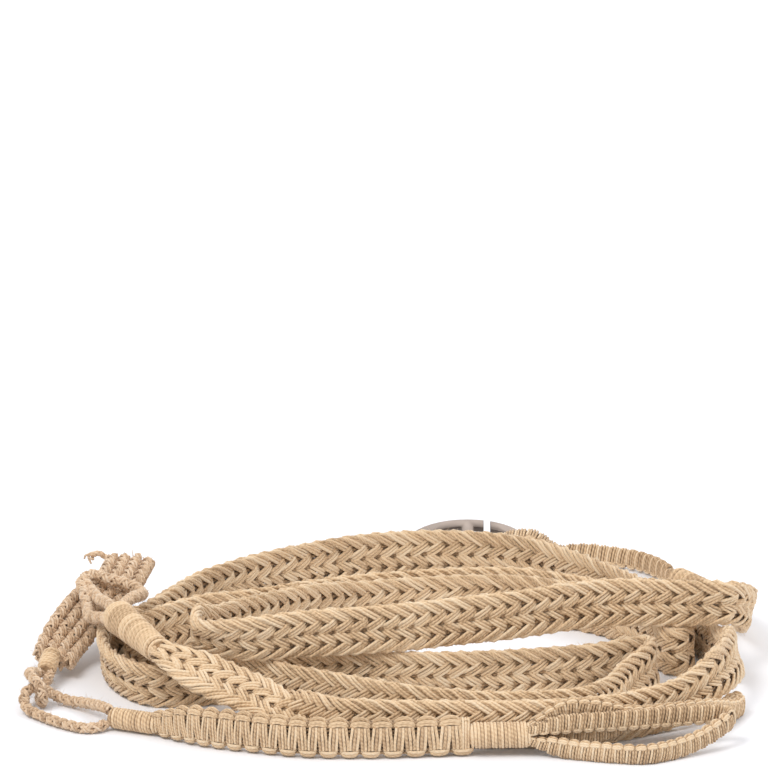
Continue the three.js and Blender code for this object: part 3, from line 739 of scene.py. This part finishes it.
def braid_strands(points, up, reach, sizes, rng):
    """Centre lines of every yarn of the flat braid. A strand runs from edge to edge, over
    one column and under the next, and folds round the edge."""
    through = unit(np.cross(heading(points), up))
    away = np.minimum(reach, reach[-1] - reach) / sizes.neck
    width = sizes.neck_width + (sizes.width - sizes.neck_width) * smooth(away)
    neck = sizes.neck_width * 0.9
    thickness = neck + (sizes.thickness - neck) * smooth(1.6 * away)
    yarn = sizes.yarn / 2 * (0.72 + 0.28 * width / sizes.width)
    swing = thickness / 2 - yarn * 1.25
    lines = []
    cores = []
    for strand in range(sizes.strands):
        drift = wander(len(points), 11, 0.004, rng)
        phase = 2 * math.pi * (reach / sizes.repeat + strand / sizes.strands + drift)
        crossing = EDGE_SHARPNESS * np.sin(phase)
        across = np.arcsin(crossing) / math.asin(EDGE_SHARPNESS)
        way = np.cos(phase) / np.sqrt(1 - crossing ** 2)
        weave = np.tanh(STRAND_FLATNESS * np.sin(2 * math.pi * across)) / math.tanh(STRAND_FLATNESS)
        height = swing * way * weave
        centre = points + up * ((width / 2 - yarn * 1.1) * across)[:, None] + through * height[:, None]
        outward = -through * way[:, None] + up * np.sqrt(np.maximum(0, 1 - way ** 2))[:, None]
        beside = unit(np.cross(heading(centre), outward))
        spread = sizes.yarn * 0.97 * width / sizes.width
        for k in range(YARNS_PER_STRAND):
            offset = (k - (YARNS_PER_STRAND - 1) / 2) * spread + wander(len(points), 4, 0.00005, rng)
            lift = wander(len(points), 5, 0.00006, rng) - (EDGE_YARN_DROP if k != 1 else 0)
            line = centre + beside * offset[:, None] + unit(outward) * lift[:, None]
            radius = yarn * (1 + wander(len(points), 4, 0.04, rng))
            lines.append((line, radius, rng.uniform(0, 1)))
    for k in range(CORE_YARNS):
        share = 2 * k / (CORE_YARNS - 1) - 1
        line = points + up * (share * (width / 2 - 2.3 * yarn))[:, None]
        cores.append((line, 1.35 * yarn))
    return lines, cores, width


class BELT_OT_flat_braid(bpy.types.Operator):
    """Weave the flat herringbone braid, one piece for each stretch"""

    bl_idname = "rope_belt.flat_braid"
    bl_label = "Flat braid"

    def execute(self, context):
        sizes = context.scene.rope_belt.braid
        rng = np.random.default_rng(SEED)
        rows = [row for stretch in BRAID.values() for row in stretch]
        points, lean, reach, row_reach = follow(rows, BRAID_STEP)
        up = upright(lean)
        points = points + up * sizes.width / 2
        lines, cores, width = braid_strands(points, up, reach, sizes, rng)
        start = 0
        for name, stretch in BRAID.items():
            stop = min(start + len(stretch), len(rows) - 1)
            first, last = np.searchsorted(reach, (row_reach[start] - 1e-6, row_reach[stop] - 1e-6))
            last = len(reach) - 1 if stop == len(rows) - 1 else last
            yarns = Yarns()
            for line, radius, tone in lines:
                yarns.add(line[first:last + 1], radius[first:last + 1], tone)
            every_other = np.linspace(first, last, max(3, (last - first) // 2)).round().astype(int)
            for line, radius in cores:
                yarns.add(line[every_other], radius[every_other], PAINTED_GAP_SHADE_TONE)
            for edge in (-0.5, 0.5):
                rim = (points + up * edge * width[:, None])[first:last + 1]
                yarns.fuzz(rim, sizes.yarn / 2, 2 * len(rim), length=EDGE_FUZZ, depth=0)
            piece = tubes(name + "_weave", yarns, yarn_slot("flat_braid"))
            dress(piece, name)
            start = stop
        return {"FINISHED"}


def seats_mesh(name, points, up, size):
    """One vertex for each knot, with the way it faces and its size."""
    mesh = bpy.data.meshes.new(name)
    mesh.vertices.add(len(points))
    mesh.vertices.foreach_set("co", points.ravel())
    columns = {"seat_along": heading(points), "seat_up": up, "seat_size": size}
    for key, values in columns.items():
        values = np.ascontiguousarray(np.broadcast_to(values, points.shape), dtype=float)
        mesh.attributes.new(key, "FLOAT_VECTOR", "POINT").data.foreach_set("vector", values.ravel())
    return mesh


LOBE_SPREAD = 1.9  # half the angle round which a lobe's yarns lie, in radians


def lobe(yarns, middle, reach, high, deep, yarn, count, flip, sag):
    """A bundle of yarns that lies along an edge, pinched and bent inward at both ends."""
    share = np.linspace(-0.96, 0.96, 9)
    pinch = (1 - np.abs(share) ** 3.4) ** 0.5
    for k in range(count):
        angle = LOBE_SPREAD * (2 * k / (count - 1) - 1)
        outward = 1 + 0.07 * yarns.rng.uniform(-1, 1)
        line = np.column_stack([
            middle[0] + share * reach / 2,
            middle[1] + math.sin(angle) * (deep - yarn) * pinch * outward,
            middle[2] + flip * (math.cos(angle) * (high - yarn) * pinch * outward - sag * share ** 2),
        ])
        yarns.add(line, yarn * (1 + 0.1 * yarns.rng.uniform(-1, 1)))
    core = np.outer(share, (reach / 2, 0, 0)) + middle
    yarns.add(core, (min(high, deep) - 1.5 * yarn) * pinch, PAINTED_GAP_SHADE_TONE)


BAR_YARN = 0.00056  # radius of the yarns down the bar's faces
LOBE_YARN = 0.00066  # radius of the yarns along the bar's edges
BAR_PITCH = 0.0073
LOBE_HEIGHT = 0.0044
BUNDLE = (-1, 0, 1)  # three yarns go down together


def bar_knot(sizes):
    """One square knot: a bundle on each edge and two bundles of yarns down each face."""
    yarns = Yarns(SEED + 1)
    half = sizes.bar_height / 2
    deep = sizes.bar_thickness / 2
    top = -0.24 * BAR_PITCH
    low = 0.26 * BAR_PITCH
    high = LOBE_HEIGHT / 2
    lobe(yarns, (top, 0, half - high), BAR_PITCH * 0.88, high, deep, LOBE_YARN, 6, 1, 0.0012)
    lobe(yarns, (low, 0, high - half), BAR_PITCH * 0.84, high, deep, LOBE_YARN, 6, -1, 0.0007)
    share = np.linspace(0, 1, 6)
    for face in (-1, 1):
        for side in (-1, 1):
            foot = low if side > 0 else low - BAR_PITCH
            for k in BUNDLE:
                start = top + side * 0.00155 + k * 0.00102
                finish = foot - side * 0.0016 + k * 0.00106
                bow = 0.0002 * k * np.sin(math.pi * share)
                line = np.column_stack([
                    start + (finish - start) * smooth(share) + bow,
                    face * (deep - BAR_YARN * (1.5 - 0.9 * np.sin(math.pi * share)) - abs(k) * 0.00012),
                    (half - LOBE_HEIGHT * 0.85) * (1 - 2 * share),
                ])
                yarns.add(line, BAR_YARN * (0.97 + 0.08 * yarns.rng.uniform(-1, 1)))
    return yarns


BAR_END_TURNS = 4  # plain turns between the last knot and the whipping
BAR_END_YARN = 0.00058  # radius of those turns
BAR_END_HEIGHT = 0.0108  # the bar's height where it enters a whipping
BAR_CORE = 0.00062  # radius of the straight yarns inside, and how many lie behind each face
BAR_CORE_ROWS = 9
BAR_CORE_STEP = 0.003
BAR_SEAT_STEP = 0.0005


class BELT_OT_knotted_bar(bpy.types.Operator):
    """Knot the bar of square knots over its core yarns"""

    bl_idname = "rope_belt.knotted_bar"
    bl_label = "Knotted bar"

    def execute(self, context):
        sizes = context.scene.rope_belt.knots
        material = yarn_slot("knotted_cord")
        points, _, reach, _ = follow(BAR_ROUTE, BAR_SEAT_STEP)
        shares = (np.arange(sizes.bar_knots) + 0.5) / sizes.bar_knots
        places = shares * (0.75 + 0.25 * shares)
        steps = (np.arange(sizes.bar_knots + 1)) / sizes.bar_knots
        pitch = np.diff(steps * (0.75 + 0.25 * steps)) * reach[-1]
        end_height = BAR_END_HEIGHT / sizes.bar_height
        height = end_height + (1 - end_height) * smooth(places * 6)
        seats = resample(points, reach, places * reach[-1])
        seats[:, 2] = height * sizes.bar_height / 2 + ORIGIN[2]
        size = np.column_stack([pitch / BAR_PITCH, np.ones(len(pitch)), height])
        knot = tubes("bar_knot", bar_knot(sizes), material)
        base = seats_mesh("bar_seats", seats, np.array((0, 0, 1.0)), size)
        knots = grow("bar_knots", base, TREES["knots"], {
            "Knot": knot, "Looseness": 0.035, "Seed": SEED, "Material": material,
        })
        bpy.data.objects.remove(knot)
        core = Yarns(SEED + 2)
        line, _, line_reach, _ = follow(BAR_ROUTE, BAR_CORE_STEP)
        along = heading(line)
        side = unit(np.cross(along, (0, 0, 1.0)))
        share = line_reach / line_reach[-1]
        tall = sizes.bar_height * (end_height + (1 - end_height) * smooth(share * 6))
        for face in (-1, 1):
            for k in range(BAR_CORE_ROWS):
                level = tall * (0.5 + 0.36 * (2 * k / (BAR_CORE_ROWS - 1) - 1))
                drift = wander(len(line), 3, 0.00015, core.rng)
                yarn = line + side * face * (sizes.bar_thickness / 2 - 0.0019)
                yarn = yarn + np.column_stack([np.zeros((len(line), 2)), level + drift])
                core.add(yarn, BAR_CORE, PAINTED_GAP_SHADE_TONE)
        turn = np.linspace(0, 2 * math.pi, 21)[:, None]
        for k in range(BAR_END_TURNS):
            near = len(line) - 1 - k * 0.36
            middle = np.array([np.interp(near, range(len(line)), line[:, axis]) for axis in range(3)])
            half = 0.5 * sizes.bar_height * 0.9
            ring = middle + side[-1] * np.cos(turn) * (sizes.bar_thickness / 2 - 0.0006)
            rise = np.sin(turn) * (half - 0.0006) + half * 1.1
            core.add(ring + np.array((0, 0, 1.0)) * rise, BAR_END_YARN)
        cores = tubes("bar_core", core, material)
        dress(joined("front_bar_knots", [knots, cores]), "front_knotted_bar")
        return {"FINISHED"}


STRIP_YARN = 0.00052  # radius of the yarns over a knot
STRIP_CORE = 0.00105  # radius of the straight yarns inside
STRIP_BEAD = 0.0029  # height of the bead on the lower edge


def strip_knot(sizes):
    """One knot of a narrow strip: four yarns over its top, in pairs, and a bead below."""
    yarns = Yarns(SEED + 3)
    half = sizes.strip_width / 2
    deep = sizes.strip_thickness / 2
    pitch = sizes.strip_pitch
    bend = np.radians(np.linspace(0, 180, 5))
    for place_at, reach in ((-0.4, 0.0), (-0.15, 0.0003), (0.12, 0.0002), (0.36, -0.0002)):
        yarn = STRIP_YARN * (1 + 0.06 * yarns.rng.uniform(-1, 1))
        crown = half - deep + reach
        rise = np.linspace(-half + STRIP_BEAD * 0.75, crown, 4)[:-1]
        bulge = yarn * (1.35 - 0.6 * np.sin(np.linspace(0.35, 2.2, 3)))
        front = np.column_stack([deep - bulge + 0.0002, rise])
        over = np.column_stack([np.cos(bend), np.sin(bend)]) * (deep - yarn) + (0, crown)
        back = front[::-1] * (-1, 1)
        profile = np.vstack([front, over, back])
        lean = 0.14 * (profile[:, 1] - crown) * -np.sign(profile[:, 0] + 1e-9)
        yarns.add(np.column_stack([place_at * pitch + lean, profile]), yarn)
    bead = (0.1 * pitch, 0, -half + STRIP_BEAD / 2)
    lobe(yarns, bead, pitch * 0.84, STRIP_BEAD / 2, deep * 1.16, STRIP_YARN * 1.15, 5, -1, 0.0006)
    return yarns


class BELT_OT_knotted_strips(bpy.types.Operator):
    """Knot the two narrow loops and the strip to the ring"""

    bl_idname = "rope_belt.knotted_strips"
    bl_label = "Knotted loops and strip"

    def execute(self, context):
        sizes = context.scene.rope_belt.knots
        material = yarn_slot("knotted_cord")
        knot = tubes("strip_knot", strip_knot(sizes), material)
        jobs = [
            ("knotted_loop_outer", OUTER_LOOP_ROUTE, 0.5, True),
            ("knotted_loop_inner", INNER_LOOP_ROUTE, 0.0, True),
            ("back_knotted_strip", STRIP_ROUTE, 1.0, False),
        ]
        for number, (node, route, turned_from, drawn_at_end) in enumerate(jobs):
            points, lean, reach, _ = follow(route, sizes.strip_pitch * 0.97)
            up = upright(lean)
            flat = np.hypot(up[:, 0], up[:, 1])
            rise = (up[:, 2] * sizes.strip_width + flat * sizes.strip_thickness) / 2
            points[:, 2] += rise
            away = np.minimum(reach, reach[-1] - reach if drawn_at_end else reach[-1])
            narrow = 0.5 + 0.5 * smooth(away / (1.5 * sizes.strip_width))
            size = np.column_stack([np.ones(len(points)), np.ones(len(points)), narrow])
            facing = np.where(reach / reach[-1] >= turned_from, -1.0, 1.0)[:, None]
            base = seats_mesh(node + "_seats", points, up * facing, size)
            piece = grow(node + "_knots", base, TREES["knots"], {
                "Knot": knot, "Looseness": 0.06, "Seed": SEED + number, "Material": material,
            })
            core = Yarns(SEED + 10 + number)
            for share in (-0.28, -0.09, 0.09, 0.28):
                level = (share * sizes.strip_width * narrow)[:, None]
                core.add(points + up * level, STRIP_CORE, PAINTED_GAP_SHADE_TONE)
            cores = tubes(node + "_core", core, material)
            dress(joined(node + "_knots", [piece, cores]), node)
        bpy.data.objects.remove(knot)
        return {"FINISHED"}


PLAIT_MIDDLE = 0.62  # a strand's mean distance from the plait's middle
PLAIT_SWING = 0.2  # how far it goes out and in as it passes over and under


def plait(yarns, points, across, above, width, height, repeat, thread, count=2, offset=0.0):
    """Four strands plaited round: two turn one way and two the other, over and under."""
    turn = 2 * math.pi * (travelled(points) / repeat + offset)
    for way in (-1, 1):
        for start in (0, math.pi):
            angle = way * turn + start
            radius = PLAIT_MIDDLE + way * PLAIT_SWING * np.cos(2 * turn)
            wide = (width / 2 - thread * 0.4) * radius / (PLAIT_MIDDLE + PLAIT_SWING)
            tall = (height / 2 - thread * 0.4) * radius / (PLAIT_MIDDLE + PLAIT_SWING)
            centre = (
                points
                + across * (wide * np.cos(angle))[:, None]
                + above * (tall * np.sin(angle))[:, None]
            )
            outward = unit(across * np.cos(angle)[:, None] + above * np.sin(angle)[:, None])
            beside = unit(np.cross(heading(centre), outward))
            for k in range(count):
                step = (k - (count - 1) / 2) * thread * 0.9
                drift = wander(len(points), 4, thread * 0.05, yarns.rng)
                yarns.add(centre + beside * (step + drift)[:, None], thread / 2)


CORD_STEP = 0.00075
# The collar's middle strand crosses the strap between the loop's two legs.
FRONT_STRAND_ROUTE = [
    (-0.546, 0.462, 1.33), (-0.556, 0.51, 1.33), (-0.568, 0.56, 1.25), (-0.58, 0.605, 1.17),
    (-0.594, 0.64, 1.22), (-0.606, 0.662, 1.3),
]


class BELT_OT_cord_loops(bpy.types.Operator):
    """Plait the round cords of the front eye, the small eye and the collar"""

    bl_idname = "rope_belt.cord_loops"
    bl_label = "Cord loops"

    def front_strand(self, yarns, diameter, repeat):
        points = follow(FRONT_STRAND_ROUTE, CORD_STEP, diameter / 2)[0]
        across, above = carried(points)
        plait(yarns, points, across, above, diameter, diameter, repeat, diameter * 0.25)
        yarns.add(points, diameter * 0.24, PAINTED_GAP_SHADE_TONE)
        yarns.fuzz(points, diameter / 2, len(points) * 3)

    def execute(self, context):
        sizes = context.scene.rope_belt.cords
        jobs = [
            ("front_cord_loop", CORD_LOOP_ROUTE, sizes.cord),
            ("small_cord_loop", SMALL_LOOP_ROUTE, sizes.cord),
            ("collar_loop", COLLAR_ROUTE, sizes.collar),
        ]
        for number, (node, route, diameter) in enumerate(jobs):
            points = follow(route, CORD_STEP, diameter / 2)[0]
            across, above = carried(points)
            yarns = Yarns(SEED + 20 + number)
            plait(yarns, points, across, above, diameter, diameter, sizes.plait, diameter * 0.25)
            if node == "collar_loop":
                self.front_strand(yarns, diameter, sizes.plait)
            yarns.add(points, diameter * 0.24, PAINTED_GAP_SHADE_TONE)
            yarns.fuzz(points, diameter / 2, len(points) * 3)
            piece = tubes(node + "_plait", yarns, yarn_slot("braided_cord"))
            dress(piece, node)
        return {"FINISHED"}


STRAP_REPEAT = 0.0105  # length of one plait repeat in the strap
STRAP_THREAD = 0.0011  # thickness of its yarns
CUT_FIBRES = 90  # loose fibres at the cut end
CUT_FIBRE = 0.00022  # their radius
CUT_TONE = 0.2
STRAP_STEP = 0.0009
STUB_TWIST = 0.006  # length of one turn of the loose thread
STUB_STEP = 0.0006
STUB_LIFT = 0.0013  # from the route's underside to the thread's middle


class BELT_OT_tail_strap(bpy.types.Operator):
    """Plait the thick strap of four chains and its loose thread"""

    bl_idname = "rope_belt.tail_strap"
    bl_label = "Tail strap"

    def execute(self, context):
        sizes = context.scene.rope_belt.cords
        material = yarn_slot("chain_knots")
        points, across, _, _ = follow(STRAP_ROUTE, STRAP_STEP)
        across = unit(across)
        above = unit(np.cross(heading(points), across))
        column = sizes.strap_width / sizes.strap_columns
        yarns = Yarns(SEED + 30)
        for k in range(sizes.strap_columns):
            middle = (k - (sizes.strap_columns - 1) / 2) * column * 0.97
            sag = wander(len(points), 20, 0.0003, yarns.rng)
            centre = points + across * middle + above * sag[:, None]
            plait(
                yarns, centre, across, above, column * 1.12, sizes.strap_thickness,
                STRAP_REPEAT, STRAP_THREAD, 3, 0.13 * k,
            )
            yarns.fuzz(centre, column / 2, len(points) * 2)
        end = points[-1]
        out = heading(points)[-1]
        for k in range(CUT_FIBRES):
            foot = end + across[-1] * yarns.rng.uniform(-0.5, 0.5) * sizes.strap_width * 0.95
            foot = foot + above[-1] * yarns.rng.uniform(-0.4, 0.4) * sizes.strap_thickness
            way = unit(out + yarns.rng.normal(0, 0.35, 3))
            long = yarns.rng.uniform(0.0015, 0.005)
            bend = yarns.rng.normal(0, 0.0006, 3)
            share = np.linspace(0, 1, 4)[:, None]
            line = foot - out * 0.002 + way * share * long + bend * share ** 2
            yarns.add(line, CUT_FIBRE * (1.2 - share[:, 0]), CUT_TONE)
        dress(tubes("tail_strap_chains", yarns, material), "tail_strap")
        points = follow(STUB_ROUTE, STUB_STEP, STUB_LIFT)[0]
        corner = end - out * 0.003 + unit(points[0] - end) * sizes.strap_width * 0.36
        lead = corner + (points[0] - corner) * np.linspace(0, 1, 7)[:-1, None]
        points = np.vstack([lead, points])
        reach = travelled(points)
        side, above = carried(points)
        stub = Yarns(SEED + 31)
        turn = reach / STUB_TWIST * 2 * math.pi
        for k in range(3):
            angle = turn + k * 2 * math.pi / 3
            offset = side * np.cos(angle)[:, None] + above * np.sin(angle)[:, None]
            spread = 0.0006 + 0.0014 * smooth((reach / reach[-1] - 0.7) * 3.3)
            thin = 0.0007 - 0.0003 * smooth((reach / reach[-1] - 0.8) * 5)
            stub.add(points + offset * spread[:, None], thin)
        dress(tubes("thread_stub_yarns", stub, material), "tail_thread_stub")
        return {"FINISHED"}


# Each whipping's two ends and its radius at either one.
WHIPPINGS = {
    "wrap_bar_left": (CORD_START, BAR_LEFT, 0.0044, 0.0044),
    "wrap_bar_right": (BAR_RIGHT, LOOPS_START, 0.0053, 0.0053),
    "wrap_tail": (TAIL_FRONT, TAIL_EYE, 0.004, 0.004),
    "wrap_back": (STRIP_END, BACK_NECK, 0.005, 0.005),
    "wrap_diagonal": (DIAGONAL_NECK, DIAGONAL_TIP, 0.0053, 0.007),
}
WRAP_CORE = np.array([0.86, 1, 1, 1, 1, 0.86])  # the hidden core is slimmer at its ends
WRAP_CORE_TONE = 0.1
THREAD_TONES = (0.05, 0.75)  # darkest and palest turn
TURN_STEPS = 22  # points in one turn of thread
MOUTH_TURNS = 1.6  # turns at either end over which a whipping tapers
MOUTH_DRAW = 0.14  # share of its radius that it loses there


class BELT_OT_whippings(bpy.types.Operator):
    """Wind the thread whippings over the joints"""

    bl_idname = "rope_belt.whippings"
    bl_label = "Whippings"

    def execute(self, context):
        thread = context.scene.rope_belt.cords.thread
        for number, (node, (start, stop, start_radius, stop_radius)) in enumerate(WHIPPINGS.items()):
            yarns = Yarns(SEED + 40 + number)
            first = place(start, start_radius)
            last = place(stop, stop_radius)
            length = np.linalg.norm(last - first)
            turns = round((length - thread) / thread)
            share = np.linspace(0, 1, turns * TURN_STEPS + 1)
            axis = unit(last - first)
            side = unit(np.cross((0, 0, 1.0), axis))
            above = np.cross(axis, side)
            middle = first + axis * (thread / 2 + (length - thread) * share)[:, None]
            radius = start_radius + (stop_radius - start_radius) * share - thread / 2
            radius = radius * (1 + wander(len(share), TURN_STEPS, 0.012, yarns.rng))
            inside = smooth(np.minimum(share, 1 - share) * turns / MOUTH_TURNS)
            radius = radius * (1 - MOUTH_DRAW * (1 - inside))
            angle = 2 * math.pi * (turns * share - 0.25)
            slip = wander(len(share), 11, thread * 0.07, yarns.rng)
            line = (
                middle + axis * slip[:, None]
                + side * (radius * np.cos(angle))[:, None]
                + above * (radius * np.sin(angle))[:, None]
            )
            for turn in range(turns):
                one = slice(TURN_STEPS * turn, TURN_STEPS * (turn + 1) + 1)
                yarns.add(line[one], thread / 2, yarns.rng.uniform(*THREAD_TONES))
            spine = first + (last - first) * np.linspace(0.02, 0.98, 6)[:, None]
            inner = np.linspace(start_radius, stop_radius, 6) - thread * 0.6
            yarns.add(spine, inner * WRAP_CORE, WRAP_CORE_TONE)
            piece = tubes(node + "_turns", yarns, yarn_slot("wrap_thread"), 8)
            dress(piece, node)
        return {"FINISHED"}


RING_EDGE = 0.0006  # how far the ring's edges are cut back before they are rounded


class BELT_OT_hook_ring(bpy.types.Operator):
    """Round the edges of the metal ring and give it its pewter"""

    bl_idname = "rope_belt.hook_ring"
    bl_label = "Hook ring"

    def execute(self, context):
        finish = context.scene.rope_belt.finish
        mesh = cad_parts["hook_ring"].data.copy()
        mesh.name = "hook_ring_metal"
        shape = bmesh.new()
        shape.from_mesh(mesh)
        bmesh.ops.remove_doubles(shape, verts=shape.verts, dist=1e-6)
        bmesh.ops.dissolve_limit(
            shape, angle_limit=math.radians(2), verts=shape.verts, edges=shape.edges
        )
        sharp = [edge for edge in shape.edges if edge.calc_face_angle(0) > math.radians(30)]
        bmesh.ops.bevel(
            shape, geom=sharp, offset=RING_EDGE, segments=3, affect="EDGES", profile=0.5,
            clamp_overlap=True,
        )
        for face in shape.faces:
            face.smooth = True
        shape.to_mesh(mesh)
        shape.free()
        mesh.materials.clear()
        mesh.materials.append(metal_material("brushed_pewter", tuple(finish.metal)))
        mesh.set_sharp_from_angle(angle=math.radians(35))
        dress(show("hook_ring_metal", mesh), "hook_ring")
        return {"FINISHED"}


FLOOR_REACH = 14.0
SKY = 0.72  # strength of the white room's even light
LIT_POINT = (0, 0, 0.02)
AIM = (-0.0024, 0, 0.015)  # the point that the camera's axis is set from
LIGHTS = (  # name, place, size, power and colour
    ("key", (-0.7, -0.9, 1.5), 0.9, 16, (1, 0.985, 0.96)),
    ("fill", (1.1, -0.5, 0.9), 1.2, 5, (1, 1, 1)),
    ("back", (0.2, 1.3, 1.3), 1.2, 8, (1, 1, 1)),
)


def area_light(name, place_at, size, power, colour):
    data = bpy.data.lights.new(name, "AREA")
    data.shape = "DISK"
    data.size = size
    data.energy = power
    data.color = colour
    light = show(name, data)
    light.location = place_at
    light.rotation_mode = "QUATERNION"
    light.rotation_quaternion = (Vector(LIT_POINT) - Vector(place_at)).to_track_quat("-Z", "Y")


class BELT_OT_stage(bpy.types.Operator):
    """Lay the pale floor, set the soft lights and the camera"""

    bl_idname = "rope_belt.stage"
    bl_label = "Stage"

    def execute(self, context):
        scene = context.scene
        stage = scene.rope_belt.stage
        mesh = bpy.data.meshes.new("floor")
        corners = ((-1, -1), (1, -1), (1, 1), (-1, 1))
        mesh.from_pydata([(x * FLOOR_REACH, y * FLOOR_REACH, 0) for x, y in corners], [], [range(4)])
        material, tree, surface = shader("floor")
        feed(tree, surface, {
            "Base Color": (*stage.floor, 1), "Roughness": 0.9, "Specular IOR Level": 0.0,
        })
        mesh.materials.append(material)
        floor = show("floor", mesh)
        world = bpy.data.worlds.new("studio")
        world.use_nodes = True
        sky = world.node_tree.nodes["Background"]
        feed(world.node_tree, sky, {"Color": (1, 1, 1, 1), "Strength": SKY})
        scene.world = world
        for light in LIGHTS:
            area_light(*light)
        data = bpy.data.cameras.new("camera")
        data.lens = stage.focal
        data.sensor_width = 36
        data.clip_start = 0.5
        data.clip_end = 60
        camera = show("camera", data)
        back = Vector((0, -math.cos(stage.elevation), math.sin(stage.elevation)))
        camera.location = Vector(AIM) + back * stage.view_width * stage.focal / data.sensor_width
        tilt = math.atan(stage.low * data.sensor_width / stage.focal)
        camera.rotation_euler = (math.radians(90) - stage.elevation + tilt, 0, 0)
        scene.camera = camera
        scene.view_settings.view_transform = "Standard"
        return {"FINISHED"}


OPERATORS = (
    BELT_OT_stage,
    BELT_OT_flat_braid,
    BELT_OT_knotted_bar,
    BELT_OT_knotted_strips,
    BELT_OT_cord_loops,
    BELT_OT_tail_strap,
    BELT_OT_whippings,
    BELT_OT_hook_ring,
)


class BELT_PT_panel(bpy.types.Panel):
    """The belt's pieces, in the order in which they are built"""

    bl_label = "Rope belt"
    bl_idname = "BELT_PT_panel"
    bl_space_type = "VIEW_3D"
    bl_region_type = "UI"
    bl_category = "Rope belt"

    def draw(self, context):
        for operator in OPERATORS:
            self.layout.operator(operator.bl_idname)


CLASSES = (
    FinishColours,
    BraidSizes,
    KnotSizes,
    CordSizes,
    StageSizes,
    BeltSettings,
    *OPERATORS,
    BELT_PT_panel,
)


def register():
    for cls in CLASSES:
        bpy.utils.register_class(cls)
    bpy.types.Scene.rope_belt = bpy.props.PointerProperty(type=BeltSettings)


def unregister():
    del bpy.types.Scene.rope_belt
    for cls in reversed(CLASSES):
        bpy.utils.unregister_class(cls)


def main():
    register()
    TREES["yarn"] = yarn_tree()
    TREES["knots"] = knot_tree()
    for operator in OPERATORS:
        group, name = operator.bl_idname.split(".")
        getattr(getattr(bpy.ops, group), name)()


if __name__ == "__main__":
    main()
